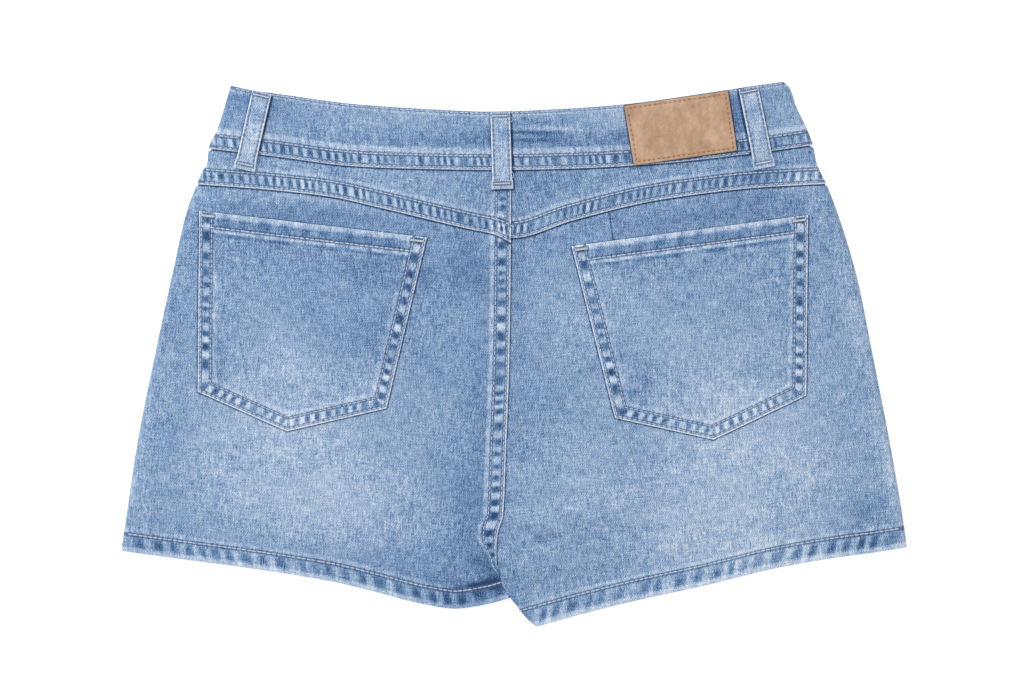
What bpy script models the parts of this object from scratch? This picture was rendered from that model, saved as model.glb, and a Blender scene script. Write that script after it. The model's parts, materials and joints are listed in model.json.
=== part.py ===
"""A denim skort laid flat on its front, seen from its back: shorts behind, and a skirt panel over the front.

Frame: X runs across the skort, Y from the legs to the waist and Z up from the surface that it lies on.
The origin is on that surface, under the middle of the skort's box. Left and right are the wearer's.
Sizes and places in this file are in millimetres, and new_object turns them into metres.
"""

import math
from collections import namedtuple

import bmesh
import bpy

METRES_PER_MM = 0.001
BOX_MIDDLE = (0.34, 0.5, 0.0)  # of the box of the outlines below, which goes to the origin

# ---------------------------------------------------------------- driving sizes

CLOTH = 1.0  # wall of one layer of denim
GAP = 0.3  # air between two pieces that touch
LAYER = CLOTH + GAP  # what one more layer adds to the height
SEAM_LAP = 8.0  # a felled seam's upper piece over its lower one
SEAM_RAMP = 4.0  # length over which a lapped piece comes back down
WAISTBAND_HEIGHT = 38.0
WAISTBAND_THICKNESS = 2.0
FRONT_WAIST_DROP = 12.0  # the front waist edge below the back one, at the middle
WAIST_OVERLAP = 26.0  # one waistband end over the other at the front
HEM_HEIGHT = 12.0
HEM_RISE = 0.7  # a turned hem over the single cloth
POCKET_HEM_HEIGHT = 10.0
POCKET_HEM_RISE = 0.5
BELT_LOOP_WIDTH = 13.0
BELT_LOOP_THICKNESS = 1.5
BELT_LOOP_ARCH = 0.9  # rise of a belt loop's middle
PATCH_THICKNESS = 1.4
BUTTON_RADIUS = 8.5
BUTTON_THICKNESS = 1.2
SIDE_ROLL = 4.5  # width of the round fold at the skort's sides
INNER_ROLL = 3.0  # width of the right leg's inner fold
FOLD_FOOT = 0.4  # height at which a side fold ends above the surface
TURN_IN = 0.8  # how far the upper edge of a folded piece is rounded
TURN_DOWN = 0.35  # how far that edge drops
WAISTBAND_INSET = 5.8  # the front waistband inside the side fold
FRONT_INSET = 7.0  # the front legs inside the side fold
FRONT_HEM_INSET = 1.6  # front hems above the back hems
SMOOTH_ANGLE = 40.0  # degrees; faces that meet at less are shaded as one

# Heights of the layers above the surface.
SKIRT_UNDER = 0.0
FRONT_UNDER = SKIRT_UNDER + LAYER
BACK_UNDER = FRONT_UNDER + LAYER

# ---------------------------------------------------------------- outlines

SidePoint = namedtuple("SidePoint", "y x")
SeamPoint = namedtuple("SeamPoint", "x y")

LEFT_SIDE = [
    SidePoint(178.0, -186.8),
    SidePoint(149.0, -195.8),
    SidePoint(136.2, -201.5),
    SidePoint(126.7, -202.4),
    SidePoint(120.8, -206.0),
    SidePoint(112.7, -209.2),
    SidePoint(96.0, -215.6),
    SidePoint(55.0, -225.1),
    SidePoint(3.0, -236.3),
    SidePoint(-58.5, -248.6),
    SidePoint(-114.0, -256.9),
    SidePoint(-130.0, -259.4),
]

RIGHT_SIDE = [
    SidePoint(180.4, 178.5),
    SidePoint(177.0, 182.2),
    SidePoint(164.5, 186.7),
    SidePoint(150.0, 193.6),
    SidePoint(138.6, 197.9),
    SidePoint(126.7, 200.3),
    SidePoint(112.7, 207.0),
    SidePoint(77.0, 219.7),
    SidePoint(47.0, 228.0),
    SidePoint(3.0, 236.8),
    SidePoint(-50.0, 247.2),
    SidePoint(-78.5, 252.4),
    SidePoint(-106.0, 257.0),
    SidePoint(-128.0, 260.1),
]

WAIST_TOP = [
    SeamPoint(-187.0, 178.0),
    SeamPoint(-172.0, 174.6),
    SeamPoint(-153.0, 172.0),
    SeamPoint(-102.6, 165.4),
    SeamPoint(-57.8, 162.4),
    SeamPoint(-15.5, 160.6),
    SeamPoint(38.0, 162.8),
    SeamPoint(72.3, 165.4),
    SeamPoint(136.3, 174.2),
    SeamPoint(162.0, 178.1),
    SeamPoint(179.0, 180.5),
]

WAIST_SEAM = [
    SeamPoint(-201.5, 136.2),
    SeamPoint(-158.0, 131.1),
    SeamPoint(-107.3, 124.7),
    SeamPoint(-75.6, 123.2),
    SeamPoint(-10.0, 122.0),
    SeamPoint(38.0, 123.0),
    SeamPoint(91.4, 125.9),
    SeamPoint(157.4, 132.9),
    SeamPoint(197.9, 138.6),
]

LEFT_YOKE_SEAM = [
    SeamPoint(-209.2, 112.7),
    SeamPoint(-160.0, 108.9),
    SeamPoint(-121.0, 104.4),
    SeamPoint(-87.5, 97.0),
    SeamPoint(-51.8, 88.4),
    SeamPoint(-28.0, 82.8),
    SeamPoint(-12.9, 79.6),
    SeamPoint(-1.7, 74.0),
]

RIGHT_YOKE_SEAM = [
    SeamPoint(-11.0, 80.0),
    SeamPoint(0.0, 77.2),
    SeamPoint(38.0, 88.4),
    SeamPoint(85.5, 100.3),
    SeamPoint(109.0, 104.3),
    SeamPoint(158.7, 110.2),
    SeamPoint(207.0, 113.0),
]

# The left pieces' folded edge at the middle of the back. Below the crossing it runs under the right leg.
CENTRE_FOLD = [
    SidePoint(140.0, -1.4),
    SidePoint(74.0, -1.7),
    SidePoint(3.0, -2.6),
    SidePoint(-66.0, -5.0),
    SidePoint(-106.0, -6.8),
    SidePoint(-116.0, -9.9),
    SidePoint(-125.4, -11.2),
    SidePoint(-138.0, -10.8),
    SidePoint(-143.0, -7.0),
    SidePoint(-150.0, -2.0),
    SidePoint(-162.0, 3.0),
]

# The right leg's inner fold, from the crossing to the hem.
LEG_FOLD = [
    SidePoint(-131.0, -10.6),
    SidePoint(-138.0, -10.2),
    SidePoint(-142.0, -9.1),
    SidePoint(-150.8, -8.0),
    SidePoint(-155.0, -5.6),
    SidePoint(-165.7, 2.0),
    SidePoint(-174.9, 9.4),
    SidePoint(-179.2, 14.4),
]

LEFT_HEM = [
    SeamPoint(-259.4, -129.2),
    SeamPoint(-219.5, -134.6),
    SeamPoint(-171.9, -141.0),
    SeamPoint(-121.1, -149.2),
    SeamPoint(-96.7, -154.9),
    SeamPoint(-58.4, -164.6),
    SeamPoint(-38.6, -167.4),
    SeamPoint(-18.2, -164.6),
    SeamPoint(3.0, -158.8),
]

RIGHT_HEM = [
    SeamPoint(14.4, -179.5),
    SeamPoint(41.6, -171.9),
    SeamPoint(79.5, -162.4),
    SeamPoint(129.0, -151.5),
    SeamPoint(173.6, -140.6),
    SeamPoint(211.5, -133.9),
    SeamPoint(238.0, -130.3),
    SeamPoint(260.1, -126.9),
]

FRONT_MIDDLE = -3.0  # the hidden fronts meet along this line

SKIRT_HEM = [
    SeamPoint(-252.0, -117.0),
    SeamPoint(-130.0, -136.0),
    SeamPoint(0.0, -150.0),
    SeamPoint(130.0, -136.0),
    SeamPoint(252.0, -115.0),
]

# Corners of the patch pockets: two at the top, two at the sides' feet and the point.
PocketCorners = namedtuple("PocketCorners", "top_left top_right foot_right point foot_left")
LEFT_POCKET = PocketCorners((-207.4, 95.3), (-57.1, 77.6), (-83.8, -35.3), (-149.5, -50.4), (-208.4, -24.3))
RIGHT_POCKET = PocketCorners((38.2, 71.9), (194.4, 92.4), (193.2, -26.7), (132.0, -55.9), (66.9, -41.6))

# Middles of the belt loops' two ends.
BeltLoop = namedtuple("BeltLoop", "name top bottom")
BELT_LOOPS = [
    BeltLoop("belt_loop_left", (-165.9, 173.4), (-177.6, 122.1)),
    BeltLoop("belt_loop_centre", (-8.8, 160.2), (-7.3, 109.4)),
    BeltLoop("belt_loop_right", (154.8, 176.4), (165.6, 123.4)),
]

PATCH_CORNERS = ((72.9, 164.3), (141.4, 174.2), (147.4, 134.8), (79.5, 125.0))

# Soft folds and hollows of the back. Length and width are half sizes, and turn is in degrees.
Fold = namedtuple("Fold", "x y length width turn height")
FOLDS = [
    Fold(-130.0, 28.0, 95.0, 60.0, -4.0, 1.2),
    Fold(120.0, 22.0, 95.0, 60.0, 5.0, 1.2),
    Fold(-135.0, -92.0, 90.0, 34.0, -8.0, 1.5),
    Fold(125.0, -98.0, 90.0, 34.0, 10.0, 1.5),
    Fold(-34.0, -132.0, 34.0, 13.0, -12.0, 1.5),
    Fold(40.0, -107.0, 46.0, 8.0, 4.0, 0.9),
    Fold(30.0, -120.0, 46.0, 5.0, 4.0, -0.5),
    Fold(38.0, -134.0, 44.0, 9.0, 8.0, 1.1),
    Fold(46.0, -150.0, 40.0, 6.0, 14.0, -0.6),
    Fold(35.0, 143.0, 42.0, 8.0, 2.0, 0.7),
    Fold(-105.0, 146.0, 50.0, 9.0, -4.0, 0.6),
]

# The dart under the right yoke, pressed to one side: a short ridge.
DART = Fold(65.2, 88.0, 13.0, 2.6, -82.0, 0.7)

# ---------------------------------------------------------------- curves and heights


def clamp(value):
    return min(max(value, 0.0), 1.0)


def step_up(low, high, value):
    """0 up to low, 1 from high, and smooth between them."""
    share = clamp((value - low) / (high - low))
    return share * share * (3.0 - 2.0 * share)


def through(rows):
    """A smooth curve through a table's rows: its second column as a function of its first."""
    rows = sorted(rows)
    steps = [(b[1] - a[1]) / (b[0] - a[0]) for a, b in zip(rows, rows[1:])]
    slopes = [steps[0]]
    for before, after in zip(steps, steps[1:]):
        same_way = before * after > 0.0
        slopes.append(2.0 * before * after / (before + after) if same_way else 0.0)
    slopes.append(steps[-1])

    def value_at(place):
        index = 0
        while index < len(rows) - 2 and place > rows[index + 1][0]:
            index += 1
        start, end = rows[index], rows[index + 1]
        span = end[0] - start[0]
        t = (place - start[0]) / span
        if t < 0.0:
            return start[1] + slopes[index] * (place - start[0])
        if t > 1.0:
            return end[1] + slopes[index + 1] * (place - end[0])
        return (
            (1 + 2 * t) * (1 - t) ** 2 * start[1]
            + t * (1 - t) ** 2 * span * slopes[index]
            + t * t * (3 - 2 * t) * end[1]
            + t * t * (t - 1) * span * slopes[index + 1]
        )

    return value_at


left_side = through(LEFT_SIDE)
right_side = through(RIGHT_SIDE)
waist_top = through(WAIST_TOP)
waist_seam = through(WAIST_SEAM)
left_yoke_seam = through(LEFT_YOKE_SEAM)
right_yoke_seam = through(RIGHT_YOKE_SEAM)
centre_fold = through(CENTRE_FOLD)
leg_fold = through(LEG_FOLD)
left_hem = through(LEFT_HEM)
right_hem = through(RIGHT_HEM)
skirt_hem = through(SKIRT_HEM)


def fold_height(fold, x, y):
    """What one fold adds at a place: highest in its middle, and nothing far away."""
    turn = math.radians(fold.turn)
    along = (x - fold.x) * math.cos(turn) + (y - fold.y) * math.sin(turn)
    across = (y - fold.y) * math.cos(turn) - (x - fold.x) * math.sin(turn)
    return fold.height * math.exp(-((along / fold.length) ** 2) - (across / fold.width) ** 2)


BUTTON_PLACE = (FRONT_MIDDLE, 129.0)
BUTTON_ROOM = BUTTON_THICKNESS + GAP
BUTTON_CLEAR = 1.5  # flat cloth round the button before the cloth comes down
BUTTON_RAMP = 12.0
BUTTON_BACK_RAMP = 45.0  # the back comes down more slowly than the waistband end on the button


def over_button(x, y, ramp=BUTTON_RAMP):
    """How far the button under the waistband lifts the cloth."""
    distance = math.hypot(x - BUTTON_PLACE[0], y - BUTTON_PLACE[1])
    flat = BUTTON_RADIUS + BUTTON_CLEAR
    return BUTTON_ROOM * (1.0 - step_up(flat, flat + ramp, distance))


LOFT_START = 4.0  # from the side fold, where the cloth begins to stand off the front
LOFT_FULL = 24.0


def back_under(x, y):
    """Height of the single back cloth's underside."""
    from_side = min(x - left_side(y), right_side(y) - x)
    folds = sum(fold_height(fold, x, y) for fold in FOLDS)
    loft = max(folds, 0.0) * step_up(LOFT_START, LOFT_FULL, from_side)
    return BACK_UNDER + loft + over_button(x, y, BUTTON_BACK_RAMP)


# ---------------------------------------------------------------- making a piece

Finish = namedtuple("Finish", "colour roughness metallic")
DENIM = Finish((0.27, 0.38, 0.56), 0.9, 0.0)
LOOP_DENIM = Finish((0.36, 0.46, 0.60), 0.9, 0.0)
LEATHER = Finish((0.50, 0.34, 0.22), 0.6, 0.0)
BRASS = Finish((0.55, 0.50, 0.42), 0.4, 1.0)


def new_object(name, points, faces, finish):
    """Makes one closed piece from points in millimetres, with its origin in its middle."""
    points = [[value - middle for value, middle in zip(point, BOX_MIDDLE)] for point in points]
    lowest = [min(point[axis] for point in points) for axis in range(3)]
    highest = [max(point[axis] for point in points) for axis in range(3)]
    middle = [(low + high) / 2.0 for low, high in zip(lowest, highest)]
    mesh = bpy.data.meshes.new(name)
    builder = bmesh.new()
    corners = []
    for point in points:
        corners.append(builder.verts.new([(p - m) * METRES_PER_MM for p, m in zip(point, middle)]))
    for face in faces:
        builder.faces.new([corners[index] for index in face])
    bmesh.ops.triangulate(builder, faces=builder.faces[:])
    bmesh.ops.recalc_face_normals(builder, faces=builder.faces[:])
    builder.to_mesh(mesh)
    builder.free()
    piece = bpy.data.objects.new(name, mesh)
    piece.location = [m * METRES_PER_MM for m in middle]
    bpy.context.scene.collection.objects.link(piece)
    material = bpy.data.materials.new(name)
    material.use_nodes = True
    shader = material.node_tree.nodes["Principled BSDF"]
    shader.inputs["Base Color"].default_value = (*finish.colour, 1.0)
    shader.inputs["Roughness"].default_value = finish.roughness
    shader.inputs["Metallic"].default_value = finish.metallic
    mesh.materials.append(material)
    mesh.shade_smooth()
    mesh.set_sharp_from_angle(angle=math.radians(SMOOTH_ANGLE))


def wall(name, upper, lower, finish=DENIM):
    """A closed wall between two grids of points that have the same rows and columns."""
    rows, columns = len(upper), len(upper[0])
    points = [point for row in upper for point in row] + [point for row in lower for point in row]
    below = rows * columns
    faces = []
    for row in range(rows - 1):
        for column in range(columns - 1):
            a = row * columns + column
            b, c, d = a + 1, a + columns + 1, a + columns
            faces.append((a, d, c, b))
            faces.append((below + a, below + b, below + c, below + d))
    rim = list(range(columns))
    rim += [row * columns + columns - 1 for row in range(1, rows)]
    rim += [(rows - 1) * columns + column for column in range(columns - 2, -1, -1)]
    rim += [row * columns for row in range(rows - 2, 0, -1)]
    for a, b in zip(rim, rim[1:] + rim[:1]):
        faces.append((a, b, below + b, below + a))
    new_object(name, points, faces, finish)


# Distances of extra columns or rows from the start and from the end, and how many even ones between.
Stations = namedtuple("Stations", "from_start from_end between")
Edges = namedtuple("Edges", "north south west east")
Roll = namedtuple("Roll", "width foot thickness")
ROLL_ANGLES = (0.0, 28.0, 52.0, 72.0)
CORNER_STEPS = 60


def shares(length, stations):
    """The shares of a length at which its stations lie."""
    first = stations.from_start[-1] / length
    last = 1.0 - stations.from_end[-1] / length
    count = stations.between
    inner = [first + (last - first) * step / (count + 1) for step in range(1, count + 1)]
    start = [distance / length for distance in stations.from_start]
    return start + inner + [1.0 - distance / length for distance in reversed(stations.from_end)]


def corner(seam, side):
    """Where a seam, y of x, crosses a side, x of y, by going from one to the other in turn."""
    y = 0.0
    for _ in range(CORNER_STEPS):
        y = seam(side(y))
    return side(y), y


def along_seam(seam, start, end):
    """The part of a seam between two corners, as a function of its share."""
    return lambda t: (start[0] + (end[0] - start[0]) * t, seam(start[0] + (end[0] - start[0]) * t))


def along_side(side, start, end):
    return lambda t: (side(start[1] + (end[1] - start[1]) * t), start[1] + (end[1] - start[1]) * t)


def straight(start, end):
    return lambda t: (start[0] + (end[0] - start[0]) * t, start[1] + (end[1] - start[1]) * t)


def sewn_edges(north, south, west, east, foot_of_west=None):
    """The edges between two seams and two sides. The west side may have another form at its foot."""
    north_west, north_east = corner(north, west), corner(north, east)
    south_west, south_east = corner(south, foot_of_west or west), corner(south, east)
    return Edges(
        along_seam(north, north_west, north_east),
        along_seam(south, south_west, south_east),
        along_side(west, north_west, south_west),
        along_side(east, north_east, south_east),
    )


def inside(edges, u, v):
    """A place inside four edges that meet at their corners. u runs east and v runs south."""
    place = []
    for axis in (0, 1):
        corners = (
            (1 - u) * (1 - v) * edges.north(0.0)[axis]
            + u * (1 - v) * edges.north(1.0)[axis]
            + (1 - u) * v * edges.south(0.0)[axis]
            + u * v * edges.south(1.0)[axis]
        )
        across = (1 - v) * edges.north(u)[axis] + v * edges.south(u)[axis]
        down = (1 - u) * edges.west(v)[axis] + u * edges.east(v)[axis]
        place.append(across + down - corners)
    return place


def cloth_piece(name, edges, columns, rows, top, under, west_roll=None, east_roll=None, finish=DENIM):
    """A piece of cloth between four edges. A roll turns it down at that side."""
    west_shares = shares(math.dist(edges.west(0.0), edges.west(1.0)), rows)
    east_shares = shares(math.dist(edges.east(0.0), edges.east(1.0)), rows)
    upper, lower = [], []
    for west_v, east_v in zip(west_shares, east_shares):
        width = math.dist(edges.west(west_v), edges.east(east_v))

        def place_at(u):
            return inside(edges, u, west_v + (east_v - west_v) * u)

        def rolled(roll, angle, side_share, inward):
            """The outer and inner points of a roll at one angle, at the side with this share."""
            turn = math.radians(angle)
            x, y = place_at(side_share + inward * roll.width / width)
            foot = roll.foot(*place_at(side_share))
            outer_in = roll.width * (1 - math.cos(turn))
            inner_in = roll.thickness + (roll.width - roll.thickness) * (1 - math.cos(turn))
            outer = place_at(side_share + inward * outer_in / width)
            inner = place_at(side_share + inward * inner_in / width)
            outer_z = foot + (top(x, y) - foot) * math.sin(turn)
            inner_z = foot + (under(x, y) - foot) * math.sin(turn)
            return (*outer, outer_z), (*inner, inner_z)

        pairs = []
        if west_roll:
            pairs += [rolled(west_roll, angle, 0.0, 1.0) for angle in ROLL_ANGLES]
        for u in shares(width, columns):
            x, y = place_at(u)
            pairs.append(((x, y, top(x, y)), (x, y, under(x, y))))
        if east_roll:
            pairs += [rolled(east_roll, angle, 1.0, -1.0) for angle in reversed(ROLL_ANGLES)]
        upper.append([outer for outer, inner in pairs])
        lower.append([inner for outer, inner in pairs])
    wall(name, upper, lower, finish)


def side_roll(thickness=CLOTH):
    return Roll(SIDE_ROLL + thickness - CLOTH, lambda x, y: FOLD_FOOT, thickness)


def turned_down(distance):
    """The drop of a folded edge's upper surface, this far from the edge."""
    return TURN_DOWN * (1.0 - step_up(0.0, TURN_IN, distance))


# ---------------------------------------------------------------- where pieces lap

LAP_FLAT = SEAM_LAP + 0.8  # a lapped piece stays up this far from its edge, just past the lap
BACK_LAP_TOP = (68.0, 74.0)  # heights between which the back's middle lap ends under the yoke
BACK_LAP_CROSSING = (-131.0, -124.0)  # and above the crossing with the right leg
YOKE_LAP_TOP = (116.0, 121.0)  # where the yoke's middle lap ends under the waistband
UNDER_EDGE_RAMP = 6.0  # length over which the under piece's edge comes out to the folded edge
BELOW_ALL = -200.0  # lower than any piece reaches
BUTT_GAP = 0.4
LEG_CROSSING = (-138.0, -132.0)  # the right leg comes to lie on the left one between these
LEG_END = (-167.0, -162.5)  # below this nothing is under the right leg
LEG_RISE_RAMP = (2.5, 13.0)  # past the left leg's edge the right leg comes down between these
INSET_RAMP = (4.0, 0.6)  # below a seam, where a side steps in under the piece sewn over it


def edge_lap(distance):
    """1 on a lap's width from the folded edge, and 0 past its ramp."""
    return 1.0 - step_up(LAP_FLAT, LAP_FLAT + SEAM_RAMP, distance)


def back_lap_window(y):
    return step_up(*BACK_LAP_CROSSING, y) * (1.0 - step_up(*BACK_LAP_TOP, y))


def yoke_lap_window(y):
    return 1.0 - step_up(*YOKE_LAP_TOP, y)


def under_edge(y, low, high):
    """The folded edge less the seam lap between two heights, and just past the edge elsewhere."""
    hidden = step_up(low, low + UNDER_EDGE_RAMP, y) * (1.0 - step_up(high - UNDER_EDGE_RAMP, high, y))
    return centre_fold(y) + BUTT_GAP - (SEAM_LAP + BUTT_GAP) * hidden


def right_back_edge(y):
    """The right back's inner edge: under the middle lap, then the right leg's inner fold."""
    if y < BACK_LAP_CROSSING[0]:
        return leg_fold(y)
    return under_edge(y, BACK_LAP_CROSSING[1], BACK_LAP_TOP[0])


def right_yoke_edge(y):
    return under_edge(y, BELOW_ALL, YOKE_LAP_TOP[0])


def right_leg_rise(x, y):
    """How far the right leg's inner edge is lifted by the left leg under it."""
    if y > LEG_CROSSING[1]:
        return 0.0
    lifted = (1.0 - step_up(*LEG_CROSSING, y)) * step_up(*LEG_END, y)
    past_left_leg = x - centre_fold(max(y, CENTRE_FOLD[-1].y))
    return LAYER * lifted * (1.0 - step_up(*LEG_RISE_RAMP, past_left_leg))


def inset_under(side, seam_y, inward, thickness):
    """A side that steps in under the piece sewn over it."""
    start, end = (seam_y - below for below in INSET_RAMP)
    return lambda y: side(y) + inward * (thickness + GAP) * step_up(start, end, y)


LEFT_YOKE_END = corner(left_yoke_seam, left_side)[1]
RIGHT_YOKE_END = corner(right_yoke_seam, right_side)[1]
LEFT_WAIST_END = corner(waist_seam, left_side)[1]
RIGHT_WAIST_END = corner(waist_seam, right_side)[1]

left_back_side = inset_under(left_side, LEFT_YOKE_END, 1.0, CLOTH)
right_back_side = inset_under(right_side, RIGHT_YOKE_END, -1.0, CLOTH)
left_yoke_side = inset_under(left_side, LEFT_WAIST_END, 1.0, WAISTBAND_THICKNESS)
right_yoke_side = inset_under(right_side, RIGHT_WAIST_END, -1.0, WAISTBAND_THICKNESS)


# ---------------------------------------------------------------- surfaces of the back

HEM_STEP = (HEM_HEIGHT - 0.5, HEM_HEIGHT + 0.8)  # from the hem's edge, where it ends in a step
POCKET_HEM_STEP = (POCKET_HEM_HEIGHT - 0.5, POCKET_HEM_HEIGHT + 0.8)
HEM_CORNER_FADE = (8.0, 12.0)  # the left hem thins towards the part under the right leg
DART_START = (0.6, 3.5)  # below the yoke's edge, where the dart comes up


def hem_rise(distance):
    return HEM_RISE * (1.0 - step_up(*HEM_STEP, distance))


def left_back_under(x, y):
    return back_under(x, y) + LAYER * edge_lap(centre_fold(y) - x) * back_lap_window(y)


def left_back_top(x, y):
    from_fold = centre_fold(y) - x
    from_hem = y - left_hem(x)
    hem = hem_rise(from_hem) * step_up(*HEM_CORNER_FADE, -x)
    return left_back_under(x, y) + CLOTH + hem - turned_down(min(from_fold, from_hem))


def right_back_under(x, y):
    return back_under(x, y) + right_leg_rise(x, y)


def right_back_top(x, y):
    from_hem = y - right_hem(x)
    from_yoke = right_yoke_seam(x) - y
    dart = fold_height(DART, x, y) * step_up(*DART_START, from_yoke)
    return right_back_under(x, y) + CLOTH + hem_rise(from_hem) + dart - turned_down(from_hem)


def left_yoke_under(x, y):
    middle_lap = edge_lap(centre_fold(y) - x)
    over_back = edge_lap(y - left_yoke_seam(x))
    over_back = max(over_back, middle_lap * edge_lap(y - right_yoke_seam(x)))
    return back_under(x, y) + LAYER * (over_back + middle_lap * yoke_lap_window(y))


def left_yoke_top(x, y):
    from_edge = min(centre_fold(y) - x, y - left_yoke_seam(x))
    return left_yoke_under(x, y) + CLOTH - turned_down(from_edge)


def right_yoke_under(x, y):
    return back_under(x, y) + LAYER * edge_lap(y - right_yoke_seam(x))


def right_yoke_top(x, y):
    return right_yoke_under(x, y) + CLOTH - turned_down(y - right_yoke_seam(x))


WAIST_LAP_STEP = 1.4  # the waistband's inside thins over the yoke within this length


def waistband_under(x, y):
    from_seam = y - waist_seam(x)
    return back_under(x, y) + LAYER * (1.0 - step_up(LAP_FLAT, LAP_FLAT + WAIST_LAP_STEP, from_seam))


def waistband_face(x, y):
    """The waistband's upper surface without its rounded edges, which loops and patch lie on."""
    return back_under(x, y) + LAYER + CLOTH


def waistband_top(x, y):
    from_edge = min(y - waist_seam(x), waist_top(x) - y)
    return waistband_face(x, y) - turned_down(from_edge)


# ---------------------------------------------------------------- the pieces

SIDE_STATION = 12.0
SIDE_COLUMNS = [SIDE_ROLL, SIDE_STATION]
INNER_COLUMNS = [INNER_ROLL, 8.0, 16.0]
LAP_STATIONS = [0.0, TURN_IN, LAP_FLAT, LAP_FLAT + SEAM_RAMP]
HEM_ROWS = [0.0, TURN_IN, *HEM_STEP]
# Rows from the panels' ends, where the middle lap ends and where the legs cross.
LEFT_BACK_HEAD = [0.0, SEAM_LAP, 14.0]
RIGHT_BACK_HEAD = [0.0, SEAM_LAP, 17.5, 23.5]
YOKE_HEAD = [0.0, LAP_FLAT, 14.2]
LEFT_CROSSING_ROWS = [16.5, 21.5, 28.5, 35.5, 43.5]
RIGHT_CROSSING_ROWS = [17.0, 23.0, 29.3, 36.3, 41.3, 44.8, 48.3, 55.3, 61.3]


def make_backs():
    """The two back panels, from under the yoke to the turned hem."""
    cloth_piece(
        "back_left",
        sewn_edges(lambda x: left_yoke_seam(x) + SEAM_LAP, left_hem, left_back_side, centre_fold),
        Stations(SIDE_COLUMNS, LAP_STATIONS, 14),
        Stations(LEFT_BACK_HEAD, HEM_ROWS + LEFT_CROSSING_ROWS, 11),
        left_back_top, left_back_under, west_roll=side_roll(),
    )
    inner_fold = Roll(
        INNER_ROLL,
        lambda x, y: FOLD_FOOT + (right_back_under(x, y) - FOLD_FOOT) * step_up(*LEG_END, y),
        CLOTH,
    )
    cloth_piece(
        "back_right",
        sewn_edges(
            lambda x: right_yoke_seam(x) + SEAM_LAP, right_hem, right_back_edge, right_back_side,
            foot_of_west=leg_fold,
        ),
        Stations(INNER_COLUMNS, SIDE_COLUMNS, 14),
        Stations(RIGHT_BACK_HEAD, HEM_ROWS + RIGHT_CROSSING_ROWS, 10),
        right_back_top, right_back_under, west_roll=inner_fold, east_roll=side_roll(),
    )


def make_yokes():
    """The two yoke halves, from under the waistband to the folded edge over the back panels."""

    def upper(x):
        return waist_seam(x) + SEAM_LAP

    rows = Stations(YOKE_HEAD, LAP_STATIONS, 2)
    cloth_piece(
        "yoke_left",
        sewn_edges(upper, left_yoke_seam, left_yoke_side, centre_fold),
        Stations(SIDE_COLUMNS, LAP_STATIONS, 14), rows,
        left_yoke_top, left_yoke_under, west_roll=side_roll(),
    )
    cloth_piece(
        "yoke_right",
        sewn_edges(upper, right_yoke_seam, right_yoke_edge, right_yoke_side),
        Stations([0.0, SEAM_LAP], SIDE_COLUMNS, 14), rows,
        right_yoke_top, right_yoke_under, east_roll=side_roll(),
    )


def make_waistband_back():
    """The back stretch of the waistband, with its fold at the top and its ends rolled to the front."""
    side_columns = [SIDE_ROLL + WAISTBAND_THICKNESS - CLOTH, SIDE_STATION]
    lap_rows = [0.0, TURN_IN, LAP_FLAT, LAP_FLAT + WAIST_LAP_STEP]
    cloth_piece(
        "waistband_back",
        sewn_edges(waist_top, waist_seam, left_side, right_side),
        Stations(side_columns, side_columns, 26),
        Stations([0.0, TURN_IN], lap_rows, 2),
        waistband_top, waistband_under,
        west_roll=side_roll(WAISTBAND_THICKNESS), east_roll=side_roll(WAISTBAND_THICKNESS),
    )


def inside_distance(corners, x, y):
    """Distance of a place from the nearest edge of a shape given clockwise."""
    nearest = math.inf
    for (ax, ay), (bx, by) in zip(corners, corners[1:] + corners[:1]):
        length = math.hypot(bx - ax, by - ay)
        nearest = min(nearest, ((y - ay) * (ax - bx) + (x - ax) * (by - ay)) / length)
    return nearest


def make_pocket(name, corners):
    """A patch pocket on a back panel, with a turned hem along its top."""
    to_point = straight(corners.foot_left, corners.point)
    from_point = straight(corners.point, corners.foot_right)

    def foot(t):
        return to_point(2.0 * t) if t <= 0.5 else from_point(2.0 * t - 1.0)

    def under(x, y):
        return back_under(x, y) + LAYER

    def top(x, y):
        from_top = inside_distance([corners.top_left, corners.top_right], x, y)
        hem = 1.0 - step_up(*POCKET_HEM_STEP, abs(from_top))
        from_edge = abs(inside_distance(list(corners), x, y))
        return under(x, y) + CLOTH + POCKET_HEM_RISE * hem - turned_down(from_edge)

    sides = [0.0, TURN_IN]
    cloth_piece(
        name,
        Edges(
            straight(corners.top_left, corners.top_right), foot,
            straight(corners.top_left, corners.foot_left), straight(corners.top_right, corners.foot_right),
        ),
        Stations(sides, sides, 9),
        Stations([*sides, *POCKET_HEM_STEP], sides, 7),
        top, under,
    )


LOOP_FOOT_DROP = (1.0, 5.0)  # below the waistband's edge a loop comes down to the yoke between these
LOOP_HEAD_ROW = 4.0


def loop_support(x, y):
    """Height of what a belt loop lies on: the waistband, then the yoke under its edge."""
    on_yoke = max(left_yoke_under(x, y) if x < centre_fold(y) else 0.0, right_yoke_under(x, y)) + CLOTH
    below_edge = waist_seam(x) - y
    return on_yoke + (waistband_face(x, y) - on_yoke) * (1.0 - step_up(*LOOP_FOOT_DROP, below_edge))


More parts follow.
